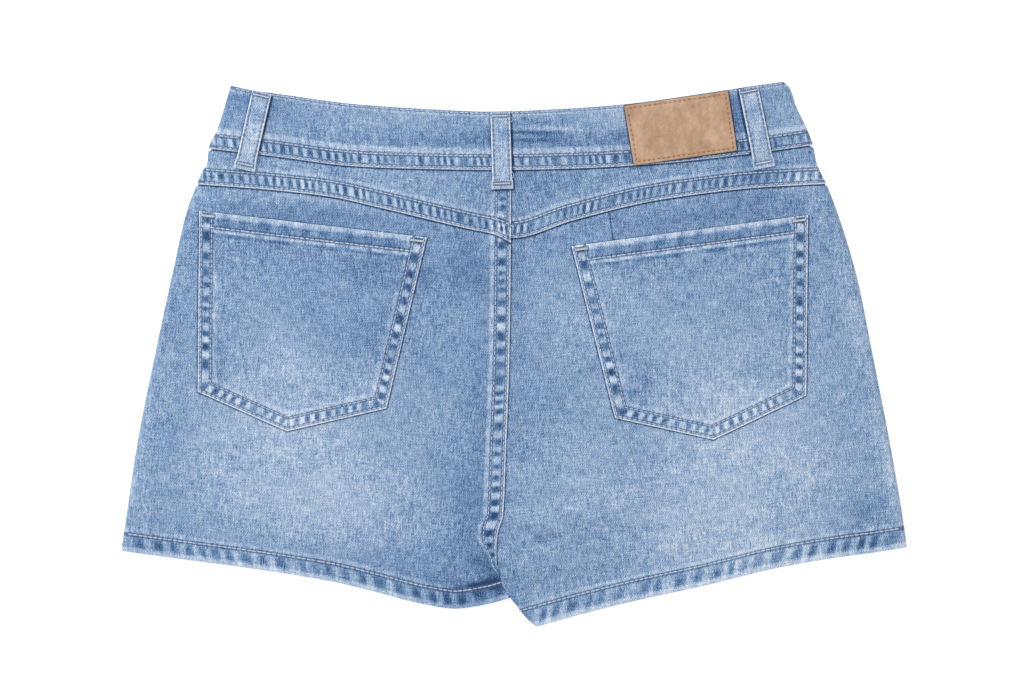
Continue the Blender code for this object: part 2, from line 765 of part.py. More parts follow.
def make_belt_loop(loop):
    """A strip from the waist edge to just below the waistband, standing off in its middle."""
    (top_x, top_y), (foot_x, foot_y) = loop.top, loop.bottom
    length = math.dist(loop.top, loop.bottom)
    across = ((top_y - foot_y) / length, (foot_x - top_x) / length)
    half = BELT_LOOP_WIDTH / 2.0
    below_seam = waist_seam(foot_x) - foot_y
    drop_rows = [below_seam - drop for drop in reversed(LOOP_FOOT_DROP)]
    rows = Stations([0.0, TURN_IN, LOOP_HEAD_ROW], [0.0, TURN_IN, *drop_rows], 5)
    upper, lower = [], []
    for t in shares(length, rows):
        x, y = top_x + (foot_x - top_x) * t, top_y + (foot_y - top_y) * t
        offsets = (-half, -half + TURN_IN, 0.0, half - TURN_IN, half)
        places = [(x + across[0] * offset, y + across[1] * offset) for offset in offsets]
        support = max(loop_support(*place) for place in places)
        under = support + GAP + BELT_LOOP_ARCH * math.sin(math.pi * t) ** 2
        end = min(t, 1.0 - t) * length
        heights = [
            under + BELT_LOOP_THICKNESS - turned_down(min(end, half - abs(offset))) for offset in offsets
        ]
        upper.append([(*place, height) for place, height in zip(places, heights)])
        lower.append([(*place, under) for place in places])
    wall(loop.name, upper, lower, LOOP_DENIM)


def make_patch():
    """The leather patch on the waistband."""
    north_west, north_east, south_east, south_west = PATCH_CORNERS

    def under(x, y):
        return waistband_face(x, y) + GAP

    def top(x, y):
        return under(x, y) + PATCH_THICKNESS - turned_down(abs(inside_distance(list(PATCH_CORNERS), x, y)))

    sides = [0.0, TURN_IN]
    cloth_piece(
        "leather_patch",
        Edges(
            straight(north_west, north_east), straight(south_west, south_east),
            straight(north_west, south_west), straight(north_east, south_east),
        ),
        Stations(sides, sides, 6), Stations(sides, sides, 3), top, under,
        finish=LEATHER,
    )


# ---------------------------------------------------------------- the hidden front

SKIRT_INSET = 4.2
HIDDEN_SEAM_GAP = 0.8
FRONT_WAIST_EDGE = 3.5  # the front waist edge below the back one, at the sides
HALF_WAIST = 190.0


def front_waist_top(x):
    return waist_top(x) - FRONT_WAIST_EDGE - FRONT_WAIST_DROP * (1.0 - (x / HALF_WAIST) ** 2)


def front_waist_seam(x):
    return front_waist_top(x) - WAISTBAND_HEIGHT


def under_front_waist(x):
    return front_waist_seam(x) - HIDDEN_SEAM_GAP


def inset_left(inset):
    return lambda y: left_side(y) + inset


def inset_right(inset):
    return lambda y: right_side(y) - inset


def flat(height):
    return lambda x, y: height


def make_fronts():
    """The two front legs, which meet along the middle."""

    def left_inner(y):
        return FRONT_MIDDLE - GAP

    def right_inner(y):
        return max(FRONT_MIDDLE + GAP, leg_fold(y) + FRONT_INSET) if y < 0.0 else FRONT_MIDDLE + GAP

    def left_end(x):
        return left_hem(x) + FRONT_HEM_INSET

    def right_end(x):
        return right_hem(x) + FRONT_HEM_INSET

    for name, west, east, south in [
        ("front_left", inset_left(FRONT_INSET), left_inner, left_end),
        ("front_right", right_inner, inset_right(FRONT_INSET), right_end),
    ]:
        cloth_piece(
            name, sewn_edges(under_front_waist, south, west, east),
            Stations([0.0], [0.0], 6), Stations([0.0], [0.0], 9),
            flat(FRONT_UNDER + CLOTH), flat(FRONT_UNDER),
        )


def make_skirt_panel():
    """The apron over both fronts, which lies on the surface."""
    cloth_piece(
        "skirt_panel",
        sewn_edges(under_front_waist, skirt_hem, inset_left(SKIRT_INSET), inset_right(SKIRT_INSET)),
        Stations([0.0], [0.0], 11), Stations([0.0], [0.0], 8),
        flat(SKIRT_UNDER + CLOTH), flat(SKIRT_UNDER),
    )


END_THINS = 1.6  # length over which a waistband end becomes half as thick
END_COLUMNS = 6  # even columns across the lapped ends
END_STATION = 34.0


def make_waistband_fronts():
    """The two front stretches of the waistband. The left end lies outside the right one."""
    lap_start = BUTTON_PLACE[0] - WAIST_OVERLAP / 2.0
    lap_end = BUTTON_PLACE[0] + WAIST_OVERLAP / 2.0

    def left_top(x, y):
        thinned = step_up(lap_start - END_THINS - BUTT_GAP, lap_start - BUTT_GAP, x)
        return WAISTBAND_THICKNESS - CLOTH * thinned + over_button(x, y)

    def lifted(x):
        return 1.0 - step_up(lap_end + BUTT_GAP, lap_end + BUTT_GAP + END_THINS, x)

    def right_under(x, y):
        return LAYER * lifted(x) + over_button(x, y)

    def right_top(x, y):
        return WAISTBAND_THICKNESS + GAP * lifted(x) + over_button(x, y)

    end_columns = [WAIST_OVERLAP * step / END_COLUMNS for step in range(END_COLUMNS + 1)]
    end_columns += [WAIST_OVERLAP + BUTT_GAP, WAIST_OVERLAP + BUTT_GAP + END_THINS, END_STATION]
    for name, west, east, columns, top, under in [
        (
            "waistband_front_left", inset_left(WAISTBAND_INSET), lambda y: lap_end,
            Stations([0.0], end_columns, 6), left_top, over_button,
        ),
        (
            "waistband_front_right", lambda y: lap_start, inset_right(WAISTBAND_INSET),
            Stations(end_columns, [0.0], 6), right_top, right_under,
        ),
    ]:
        cloth_piece(
            name, sewn_edges(front_waist_top, front_waist_seam, west, east),
            columns, Stations([0.0], [0.0], 5), top, under,
        )


BUTTON_SIDES = 20
BUTTON_RIM = 0.35  # bevel of the button's rim


def make_button():
    """The waist button: a low disc with a bevelled rim, face down."""
    rings = [
        (BUTTON_RADIUS - BUTTON_RIM, 0.0),
        (BUTTON_RADIUS, BUTTON_RIM),
        (BUTTON_RADIUS, BUTTON_THICKNESS - BUTTON_RIM),
        (BUTTON_RADIUS - BUTTON_RIM, BUTTON_THICKNESS),
    ]
    points = []
    for radius, height in rings:
        for side in range(BUTTON_SIDES):
            angle = 2.0 * math.pi * side / BUTTON_SIDES
            x = BUTTON_PLACE[0] + radius * math.cos(angle)
            y = BUTTON_PLACE[1] + radius * math.sin(angle)
            points.append((x, y, height))
    faces = [tuple(reversed(range(BUTTON_SIDES))), tuple(range(len(points) - BUTTON_SIDES, len(points)))]
    for ring in range(len(rings) - 1):
        for side in range(BUTTON_SIDES):
            a = ring * BUTTON_SIDES + side
            b = ring * BUTTON_SIDES + (side + 1) % BUTTON_SIDES
            faces.append((a, b, b + BUTTON_SIDES, a + BUTTON_SIDES))
    new_object("waist_button", points, faces, BRASS)


def main():
    for thing in list(bpy.data.objects):
        bpy.data.objects.remove(thing)
    make_skirt_panel()
    make_fronts()
    make_waistband_fronts()
    make_button()
    make_backs()
    make_yokes()
    make_waistband_back()
    make_pocket("pocket_left", LEFT_POCKET)
    make_pocket("pocket_right", RIGHT_POCKET)
    for loop in BELT_LOOPS:
        make_belt_loop(loop)
    make_patch()


if __name__ == "__main__":
    main()
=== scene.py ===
"""The looks of a denim skort laid flat, seen from its back: blue twill, sewing, leather patch and button.

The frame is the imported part, and every piece here lies where its solid lies. Places are in millimetres, with
X across the skort, Y from the legs to the waist and Z up, and build_mesh turns them into the frame's metres.
Left and right are the wearer's, which are the camera's too, because the skort's back is up.
"""

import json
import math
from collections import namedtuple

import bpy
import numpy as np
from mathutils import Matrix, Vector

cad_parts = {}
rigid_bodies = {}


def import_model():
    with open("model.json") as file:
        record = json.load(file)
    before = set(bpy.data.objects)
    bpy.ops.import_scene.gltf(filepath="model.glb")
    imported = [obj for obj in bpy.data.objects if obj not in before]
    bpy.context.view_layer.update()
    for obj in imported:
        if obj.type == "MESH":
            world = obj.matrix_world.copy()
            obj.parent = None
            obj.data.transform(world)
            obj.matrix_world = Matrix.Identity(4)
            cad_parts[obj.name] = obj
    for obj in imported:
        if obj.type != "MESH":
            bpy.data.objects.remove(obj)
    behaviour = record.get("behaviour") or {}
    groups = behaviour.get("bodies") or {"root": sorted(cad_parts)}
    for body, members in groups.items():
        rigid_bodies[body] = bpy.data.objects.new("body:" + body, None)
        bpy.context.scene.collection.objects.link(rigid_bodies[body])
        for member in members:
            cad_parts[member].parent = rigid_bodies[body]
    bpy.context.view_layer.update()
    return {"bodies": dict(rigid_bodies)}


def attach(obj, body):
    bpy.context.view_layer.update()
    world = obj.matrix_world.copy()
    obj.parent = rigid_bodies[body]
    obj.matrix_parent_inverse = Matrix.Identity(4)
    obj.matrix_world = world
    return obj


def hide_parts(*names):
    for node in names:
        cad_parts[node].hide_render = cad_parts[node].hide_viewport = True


bl_info = {
    "name": "Denim Skort",
    "version": (1, 0, 0),
    "blender": (4, 5, 0),
    "location": "3D View > Sidebar > Skort",
    "description": "Makes the cloth, sewing, patch and button of a denim skort on its packed frame",
    "category": "Add Mesh",
}

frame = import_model()
BODY = next(iter(frame["bodies"]))

MM = 0.001
BOX_MIDDLE = np.array([0.34, 0.5, 0.0])  # of the outlines' box, which is the frame's origin

# ---- driving sizes, as in the solids

CLOTH = 1.0  # wall of one layer of denim
GAP = 0.3  # air between two pieces that touch
LAYER = CLOTH + GAP
SEAM_LAP = 8.0
SEAM_RAMP = 4.0
WAISTBAND_HEIGHT = 38.0
WAISTBAND_THICKNESS = 2.0
FRONT_WAIST_DROP = 12.0
WAIST_OVERLAP = 26.0
HEM_RISE = 0.7
LEFT_HEM_HEIGHT = 12.0
RIGHT_HEM_HEIGHT = 13.4
POCKET_HEM_HEIGHT = 10.4
POCKET_HEM_RISE = 0.5
BELT_LOOP_WIDTH = 13.0
BELT_LOOP_THICKNESS = 1.5
BELT_LOOP_ARCH = 0.9
PATCH_THICKNESS = 1.4
BUTTON_RADIUS = 8.5
BUTTON_THICKNESS = 1.2
SIDE_ROLL = 4.5
INNER_ROLL = 3.0
FOLD_FOOT = 0.4
EDGE_ROUND = 0.6  # radius of the cloth's rounded edges
WAISTBAND_INSET = 5.8
FRONT_INSET = 7.0
FRONT_HEM_INSET = 1.6
FRONT_UNDER = LAYER
BACK_UNDER = 2.0 * LAYER

# Distances of the stitch rows from the edge that they follow.
YOKE_ROWS = (1.7, 10.0)
WAIST_ROWS = (1.6, 9.2)
WAIST_TOP_ROW = 1.2
CENTRE_ROWS = (1.9, 9.8)
LEFT_HEM_ROW = 11.6
RIGHT_HEM_ROW = 13.0
POCKET_ROWS = (1.8, 8.4)
POCKET_HEM_ROW = 10.2
LOOP_ROW = 1.6
PATCH_ROW = 2.1

# ---- curves and noise


def smooth(low, high, value):
    """0 up to low, 1 from high, and smooth between them."""
    share = np.clip((np.asarray(value, float) - low) / (high - low), 0.0, 1.0)
    return share * share * (3.0 - 2.0 * share)


def band(low, high, soft, value):
    """1 between low and high, and 0 from a soft step outside them."""
    return smooth(low - soft, low, value) * (1.0 - smooth(high, high + soft, value))


CURVE_MARGIN = 30.0  # mm past a curve's ends up to which its length is known
CURVE_PLACES = 900


class Curve:
    """A smooth curve through a table's rows: its second column as a function of its first."""

    def __init__(self, rows):
        self.knots, self.values = np.array(sorted(rows), float).T
        steps = np.diff(self.values) / np.diff(self.knots)
        before, after = steps[:-1], steps[1:]
        same_way = before * after > 0.0
        mean = 2.0 * before * after / np.where(same_way, before + after, 1.0)
        self.slopes = np.concatenate([steps[:1], np.where(same_way, mean, 0.0), steps[-1:]])
        ends = (self.knots[0] - CURVE_MARGIN, self.knots[-1] + CURVE_MARGIN)
        self.places = np.linspace(*ends, CURVE_PLACES)
        runs = np.hypot(np.diff(self.places), np.diff(self(self.places)))
        self.lengths = np.concatenate([[0.0], np.cumsum(runs)])

    def __call__(self, place):
        place = np.asarray(place, float)
        index = np.clip(np.searchsorted(self.knots, place) - 1, 0, len(self.knots) - 2)
        start, end = self.knots[index], self.knots[index + 1]
        t = (place - start) / (end - start)
        s = np.clip(t, 0.0, 1.0)
        return (
            (1 + 2 * s) * (1 - s) ** 2 * self.values[index]
            + s * (1 - s) ** 2 * (end - start) * self.slopes[index]
            + s * s * (3 - 2 * s) * self.values[index + 1]
            + s * s * (s - 1) * (end - start) * self.slopes[index + 1]
            + np.where(t < 0.0, self.slopes[index] * (place - start), 0.0)
            + np.where(t > 1.0, self.slopes[index + 1] * (place - end), 0.0)
        )

    def distance(self, place, value):
        """How far a place lies from the curve, positive towards larger values of the second column."""
        return (value - self(place)) / np.hypot(1.0, self(place + 0.5) - self(place - 0.5))

    def length_to(self, place):
        return np.interp(place, self.places, self.lengths)

    def beside(self, start, end, distance):
        """Points along the curve, this far from it: their first and second columns."""
        place = np.linspace(start, end, max(int(abs(end - start)), 2))
        distance = distance(place) if callable(distance) else distance
        slope = self(place + 0.5) - self(place - 0.5)
        stretch = np.hypot(1.0, slope)
        return place - distance * slope / stretch, self(place) + distance / stretch


NOISE_KNOTS = 1024
NOISE_SIDE = 96
PUCKER_SQUARENESS = 2.0  # how abruptly a pucker's ridge turns into its hollow


def noise(place, seed):
    """Smooth noise from -1 to 1 along a line, with a knot at each whole number."""
    knots = np.random.RandomState(seed).uniform(-1.0, 1.0, NOISE_KNOTS)
    place = np.asarray(place, float)
    low = np.floor(place).astype(int)
    t = smooth(0.0, 1.0, place - low)
    return knots[low % NOISE_KNOTS] * (1.0 - t) + knots[(low + 1) % NOISE_KNOTS] * t


def noise_2d(x, y, seed):
    """Smooth noise from -1 to 1 on a plane, with a knot at each whole number."""
    knots = np.random.RandomState(seed).uniform(-1.0, 1.0, (NOISE_SIDE, NOISE_SIDE))
    low_x, low_y = np.floor(x).astype(int), np.floor(y).astype(int)
    s, t = smooth(0.0, 1.0, x - low_x), smooth(0.0, 1.0, y - low_y)
    rows = [
        knots[(low_y + step) % NOISE_SIDE, low_x % NOISE_SIDE] * (1.0 - s)
        + knots[(low_y + step) % NOISE_SIDE, (low_x + 1) % NOISE_SIDE] * s
        for step in (0, 1)
    ]
    return rows[0] * (1.0 - t) + rows[1] * t


def roping(along, across, pitch, slant, seed):
    """The puckers of a sewn edge, from -1 in a hollow to 1 on a ridge, uneven in length and strength."""
    place = (along + slant * across) / pitch
    phase = place + 0.45 * noise(place / 2.3, seed) + 0.18 * noise(place * 1.1, seed + 1)
    wave = np.tanh(PUCKER_SQUARENESS * np.sin(2.0 * math.pi * phase)) / math.tanh(PUCKER_SQUARENESS)
    return wave * (0.64 + 0.36 * noise(place / 1.7, seed + 2))


def along_across(x, y, thing):
    """How far a place lies along and across a thing, which has a middle and a turn in degrees."""
    turn = math.radians(thing.turn)
    along = (x - thing.x) * math.cos(turn) + (y - thing.y) * math.sin(turn)
    return along, (y - thing.y) * math.cos(turn) - (x - thing.x) * math.sin(turn)


# Length and width are half sizes, and turn is in degrees. Height is in mm, or in wash, 0 unworn to 1 white.
Fold = namedtuple("Fold", "x y length width turn height")


def folds(*rows):
    """Folds, creases or worn places from a table with Fold's columns."""
    return [Fold(*row) for row in rows]


def fold_height(fold, x, y):
    """What one fold adds at a place: most in its middle, and nothing far away."""
    along, across = along_across(x, y, fold)
    return fold.height * np.exp(-((along / fold.length) ** 2) - (across / fold.width) ** 2)


def all_folds(made, x, y):
    return sum((fold_height(fold, x, y) for fold in made), np.zeros(np.shape(x)))


# ---- outlines, as in the solids: a side's rows are its y and x, and a seam's are its x and y

left_side = Curve([
    (178, -186.8), (149, -195.8), (136.2, -201.5), (126.7, -202.4), (120.8, -206), (112.7, -209.2),
    (96, -215.6), (55, -225.1), (3, -236.3), (-58.5, -248.6), (-114, -256.9), (-130, -259.4),
])
right_side = Curve([
    (180.4, 178.5), (177, 182.2), (164.5, 186.7), (150, 193.6), (138.6, 197.9), (126.7, 200.3), (112.7, 207),
    (77, 219.7), (47, 228), (3, 236.8), (-50, 247.2), (-78.5, 252.4), (-106, 257), (-128, 260.1),
])
waist_top = Curve([
    (-187, 178), (-172, 174.6), (-153, 172), (-102.6, 165.4), (-57.8, 162.4), (-15.5, 160.6), (38, 162.8),
    (72.3, 165.4), (136.3, 174.2), (162, 178.1), (179, 180.5),
])
waist_seam = Curve([
    (-201.5, 136.2), (-158, 131.1), (-107.3, 124.7), (-75.6, 123.2), (-10, 122), (38, 123), (91.4, 125.9),
    (157.4, 132.9), (197.9, 138.6),
])
left_yoke_seam = Curve([
    (-209.2, 112.7), (-160, 108.9), (-121, 104.4), (-87.5, 97), (-51.8, 88.4), (-28, 82.8), (-12.9, 79.6),
    (-1.7, 74),
])
right_yoke_seam = Curve([
    (-11, 80), (0, 77.2), (38, 88.4), (85.5, 100.3), (109, 104.3), (158.7, 110.2), (207, 113),
])
centre_fold = Curve([
    (140, -1.4), (74, -1.7), (3, -2.6), (-66, -5), (-106, -6.8), (-116, -9.9), (-125.4, -11.2), (-138, -10.8),
    (-143, -7), (-150, -2), (-162, 3),
])
leg_fold = Curve([
    (-131, -10.6), (-138, -10.2), (-142, -9.1), (-150.8, -8), (-155, -5.6), (-165.7, 2), (-174.9, 9.4),
    (-179.2, 14.4),
])
left_hem = Curve([
    (-259.4, -129.2), (-219.5, -134.6), (-171.9, -141), (-121.1, -149.2), (-96.7, -154.9), (-58.4, -164.6),
    (-38.6, -167.4), (-18.2, -164.6), (3, -158.8),
])
right_hem = Curve([
    (14.4, -179.5), (41.6, -171.9), (79.5, -162.4), (129, -151.5), (173.6, -140.6), (211.5, -133.9),
    (238, -130.3), (260.1, -126.9),
])
skirt_hem = Curve([(-252, -117), (-130, -136), (0, -150), (130, -136), (252, -115)])
FRONT_MIDDLE = -3.0
PocketCorners = namedtuple("PocketCorners", "top_left top_right foot_right point foot_left")
POCKETS_AT = {
    "left": PocketCorners((-207.4, 95.3), (-57.1, 77.6), (-83.8, -35.3), (-149.5, -50.4), (-208.4, -24.3)),
    "right": PocketCorners((38.2, 71.9), (194.4, 92.4), (193.2, -26.7), (132.0, -55.9), (66.9, -41.6)),
}
BeltLoop = namedtuple("BeltLoop", "name top bottom shade")
BELT_LOOPS = [
    BeltLoop("belt_loop_left", (-165.9, 173.4), (-177.6, 122.1), 0.4),
    BeltLoop("belt_loop_centre", (-8.8, 160.2), (-7.3, 109.4), 0.5),
    BeltLoop("belt_loop_right", (154.8, 176.4), (165.6, 123.4), -0.5),
]
PATCH_CORNERS = [(72.9, 164.3), (141.4, 174.2), (147.4, 134.8), (79.5, 125.0)]
FOLDS = folds(
    (-130, 28, 95, 60, -4, 1.2), (120, 22, 95, 60, 5, 1.2), (-135, -92, 90, 34, -8, 1.5),
    (125, -98, 90, 34, 10, 1.5), (-34, -132, 34, 13, -12, 1.5), (40, -107, 46, 8, 4, 0.9),
    (30, -120, 46, 5, 4, -0.5), (38, -134, 44, 9, 8, 1.1), (46, -150, 40, 6, 14, -0.6),
    (35, 143, 42, 8, 2, 0.7), (-105, 146, 50, 9, -4, 0.6),
)
DART = Fold(65.2, 88.0, 13.0, 2.6, -82.0, 0.7)

# ---- the layers' heights, as in the solids

BUTTON_PLACE = (FRONT_MIDDLE, 129.0)
BUTTON_ROOM = BUTTON_THICKNESS + GAP
BUTTON_FLAT = BUTTON_RADIUS + 1.5
BUTTON_RAMP = 12.0
BUTTON_BACK_RAMP = 45.0
LAP_FLAT = SEAM_LAP + 0.8
BACK_LAP_TOP = (68.0, 74.0)
BACK_LAP_CROSSING = (-131.0, -124.0)
YOKE_LAP_TOP = (116.0, 121.0)
UNDER_EDGE_RAMP = 6.0
BELOW_ALL = -200.0
BUTT_GAP = 0.4
LEG_CROSSING = (-138.0, -132.0)
LEG_END = (-167.0, -162.5)
LEG_RISE_RAMP = (2.5, 13.0)
INSET_RAMP = (1.7, 0.4)
HEM_STEP = 1.3  # length over which a turned hem ends
HEM_CORNER_FADE = (8.0, 12.0)
DART_START = (0.6, 3.5)
WAIST_LAP_STEP = 1.4
LOOP_FOOT_DROP = (1.0, 5.0)
LOFT_RAMP = (4.0, 24.0)


def over_button(x, y, ramp=BUTTON_RAMP):
    distance = np.hypot(x - BUTTON_PLACE[0], y - BUTTON_PLACE[1])
    return BUTTON_ROOM * (1.0 - smooth(BUTTON_FLAT, BUTTON_FLAT + ramp, distance))


def back_under(x, y):
    """Height of the single back cloth's underside."""
    from_side = np.minimum(x - left_side(y), right_side(y) - x)
    loft = np.maximum(all_folds(FOLDS, x, y), 0.0) * smooth(*LOFT_RAMP, from_side)
    return BACK_UNDER + loft + over_button(x, y, BUTTON_BACK_RAMP)


def rounded(distance, radius=EDGE_ROUND):
    """The drop of a rounded edge's upper surface, this far from the edge."""
    share = 1.0 - np.clip(distance / radius, 0.0, 1.0)
    return radius * (1.0 - np.sqrt(1.0 - 0.999 * share * share))


def edge_lap(distance):
    """1 on a lap's width from the folded edge, and 0 past its ramp."""
    return 1.0 - smooth(LAP_FLAT, LAP_FLAT + SEAM_RAMP, distance)


def under_edge(y, low, high):
    """The folded edge less the seam lap between two heights, and just past the edge elsewhere."""
    hidden = smooth(low, low + UNDER_EDGE_RAMP, y) * (1.0 - smooth(high - UNDER_EDGE_RAMP, high, y))
    return centre_fold(y) + BUTT_GAP - (SEAM_LAP + BUTT_GAP) * hidden


def right_back_edge(y):
    lapped = under_edge(y, BACK_LAP_CROSSING[1], BACK_LAP_TOP[0])
    return np.where(np.asarray(y) < BACK_LAP_CROSSING[0], leg_fold(y), lapped)


def right_yoke_edge(y):
    return under_edge(y, BELOW_ALL, YOKE_LAP_TOP[0])


def hem_rise(height, distance):
    return HEM_RISE * (1.0 - smooth(height - 0.5, height - 0.5 + HEM_STEP, distance))


def left_back_under(x, y):
    window = smooth(*BACK_LAP_CROSSING, y) * (1.0 - smooth(*BACK_LAP_TOP, y))
    return back_under(x, y) + LAYER * edge_lap(centre_fold(y) - x) * window


def left_back_top(x, y):
    from_fold, from_hem = centre_fold(y) - x, left_hem.distance(x, y)
    hem = hem_rise(LEFT_HEM_HEIGHT, from_hem) * smooth(*HEM_CORNER_FADE, -x)
    return left_back_under(x, y) + CLOTH + hem - rounded(np.minimum(from_fold, from_hem))


def right_back_under(x, y):
    """The right back's underside, lifted where the left leg lies under its inner edge."""
    lifted = (1.0 - smooth(*LEG_CROSSING, y)) * smooth(*LEG_END, y)
    past_left_leg = x - centre_fold(np.maximum(y, centre_fold.knots[0]))
    return back_under(x, y) + LAYER * lifted * (1.0 - smooth(*LEG_RISE_RAMP, past_left_leg))


def right_back_top(x, y):
    from_hem = right_hem.distance(x, y)
    dart = fold_height(DART, x, y) * smooth(*DART_START, right_yoke_seam(x) - y)
    return right_back_under(x, y) + CLOTH + hem_rise(RIGHT_HEM_HEIGHT, from_hem) + dart - rounded(from_hem)


def left_yoke_under(x, y):
    middle_lap = edge_lap(centre_fold(y) - x)
    over_back = edge_lap(y - left_yoke_seam(x))
    over_back = np.maximum(over_back, middle_lap * edge_lap(y - right_yoke_seam(x)))
    return back_under(x, y) + LAYER * (over_back + middle_lap * (1.0 - smooth(*YOKE_LAP_TOP, y)))


def left_yoke_top(x, y):
    from_edge = np.minimum(centre_fold(y) - x, left_yoke_seam.distance(x, y))
    return left_yoke_under(x, y) + CLOTH - rounded(from_edge)


def right_yoke_under(x, y):
    return back_under(x, y) + LAYER * edge_lap(y - right_yoke_seam(x))


def right_yoke_top(x, y):
    return right_yoke_under(x, y) + CLOTH - rounded(right_yoke_seam.distance(x, y))


def waistband_under(x, y):
    from_seam = y - waist_seam(x)
    return back_under(x, y) + LAYER * (1.0 - smooth(LAP_FLAT, LAP_FLAT + WAIST_LAP_STEP, from_seam))


def waistband_face(x, y):
    """The waistband's upper surface without its rounded edges, which loops and patch lie on."""
    return back_under(x, y) + LAYER + CLOTH


def waistband_top(x, y):
    from_edge = np.minimum(waist_seam.distance(x, y), -waist_top.distance(x, y))
    return waistband_face(x, y) - rounded(from_edge)


# ---- plans: grids of places between four edges

# Distances of extra columns or rows from the start and from the end, and how many even ones between.
Stations = namedtuple("Stations", "from_start from_end between")
Edges = namedtuple("Edges", "north south west east")
Roll = namedtuple("Roll", "width foot thickness")
# The upper and under side's points, and how far each upper point takes the piece's relief.
Grid = namedtuple("Grid", "upper under share")
ROLL_ANGLES = np.radians([0.0, 12.0, 24.0, 36.0, 48.0, 60.0, 72.0])
CORNER_STEPS = 60
ROUND_STATIONS = [0.0, 0.08, 0.22, 0.4, 0.62]


def fine(reach, step):
    """Distances from a rounded edge inwards, close together as far as its sewing reaches."""
    return ROUND_STATIONS + list(np.arange(ROUND_STATIONS[-1] + step, reach, step))


def shares(length, stations):
    """The shares of a length at which its stations lie."""
    first = stations.from_start[-1] / length
    last = 1.0 - stations.from_end[-1] / length
    inner = np.linspace(first, last, stations.between + 2)[1:-1]
    end = 1.0 - np.array(stations.from_end[::-1]) / length
    return np.concatenate([np.array(stations.from_start) / length, inner, end])


def corner(seam, side):
    """Where a seam, y of x, crosses a side, x of y, by going from one to the other in turn."""
    y = 0.0
    for _ in range(CORNER_STEPS):
        y = float(seam(side(y)))
    return float(side(y)), y


def along_seam(seam, start, end):
    def place(t):
        x = start[0] + (end[0] - start[0]) * np.asarray(t, float)
        return np.stack([x, seam(x) + 0.0 * x], -1)

    return place


def along_side(side, start, end):
    def place(t):
        y = start[1] + (end[1] - start[1]) * np.asarray(t, float)
        return np.stack([side(y) + 0.0 * y, y], -1)

    return place


def straight(start, end):
    start, end = np.array(start, float), np.array(end, float)
    return lambda t: start + (end - start) * np.asarray(t, float)[..., None]


def sewn_edges(north, south, west, east, foot_of_west=None):
    """The edges between two seams and two sides. The west side may have another form at its foot."""
    north_west, north_east = corner(north, west), corner(north, east)
    south_west, south_east = corner(south, foot_of_west or west), corner(south, east)
    return Edges(
        along_seam(north, north_west, north_east), along_seam(south, south_west, south_east),
        along_side(west, north_west, south_west), along_side(east, north_east, south_east),
    )


def straight_edges(north_west, north_east, south_east, south_west):
    return Edges(
        straight(north_west, north_east), straight(south_west, south_east),
        straight(north_west, south_west), straight(north_east, south_east),
    )


def inside(edges, u, v):
    """Places inside four edges that meet at their corners. u runs east and v runs south."""
    north, south, west, east = edges.north(u), edges.south(u), edges.west(v), edges.east(v)
    north_west, north_east = edges.north(0.0), edges.north(1.0)
    south_west, south_east = edges.south(0.0), edges.south(1.0)
    u, v = u[..., None], v[..., None]
    corners = (
        (1 - u) * (1 - v) * north_west + u * (1 - v) * north_east
        + (1 - u) * v * south_west + u * v * south_east
    )
    return (1 - v) * north + v * south + (1 - u) * west + u * east - corners


def plan_grid(edges, columns, rows, top, under, west_roll=None, east_roll=None):
    """A piece's points between its four edges. A roll turns it down at that side."""
    west_length = math.dist(edges.west(0.0), edges.west(1.0))
    east_length = math.dist(edges.east(0.0), edges.east(1.0))
    grid_rows = []
    for west_v, east_v in zip(shares(west_length, rows), shares(east_length, rows)):
        width = math.dist(edges.west(west_v), edges.east(east_v))

        def place_at(u):
            u = np.asarray(u, float)
            return inside(edges, u, west_v + (east_v - west_v) * u)

        def rolled(roll, angles, side_share, inward):
            """The outer and inner points of a roll at its angles, at the side with this share."""
            x, y = place_at(side_share + inward * roll.width / width)
            foot = roll.foot(*place_at(side_share))
            turn = 1.0 - np.cos(angles)
            outer = place_at(side_share + inward * roll.width * turn / width)
            inner_in = roll.thickness + (roll.width - roll.thickness) * turn
            inner = place_at(side_share + inward * inner_in / width)
            outer_z = foot + (top(x, y) - foot) * np.sin(angles)
            inner_z = foot + (under(x, y) - foot) * np.sin(angles)
            return np.column_stack([outer, outer_z]), np.column_stack([inner, inner_z]), np.sin(angles)

        places = place_at(shares(width, columns))
        x, y = places.T
        parts = [(
            np.column_stack([places, top(x, y) + 0.0 * x]), np.column_stack([places, under(x, y) + 0.0 * x]),
            np.ones(len(x)),
        )]
        if west_roll:
            parts.insert(0, rolled(west_roll, ROLL_ANGLES, 0.0, 1.0))
        if east_roll:
            parts.append(rolled(east_roll, ROLL_ANGLES[::-1], 1.0, -1.0))
        grid_rows.append([np.concatenate(values) for values in zip(*parts)])
    return Grid(*(np.array(values) for values in zip(*grid_rows)))


# ---- meshes

SMOOTH_ANGLE = math.radians(55.0)
UNDER_STEP = 4  # the under side, which is hidden, has one point for so many of the upper side's
FAR = 60.0  # mm; further than any mark reaches


def build_mesh(name, points, faces, material, marks=None):
    """One object from points in millimetres. marks are numbers at its points that the material reads."""
    mesh = bpy.data.meshes.new(name)
    mesh.from_pydata(((np.asarray(points) - BOX_MIDDLE) * MM).tolist(), [], faces)
    for mark, values in (marks or {}).items():
        attribute = mesh.attributes.new(mark, "FLOAT", "POINT")
        attribute.data.foreach_set("value", np.asarray(values, np.float32).ravel())
    mesh.materials.append(material)
    mesh.shade_smooth()
    mesh.set_sharp_from_angle(angle=SMOOTH_ANGLE)
    mesh.validate()
    piece = bpy.data.objects.new(name, mesh)
    bpy.context.scene.collection.objects.link(piece)
    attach(piece, BODY)
    return piece


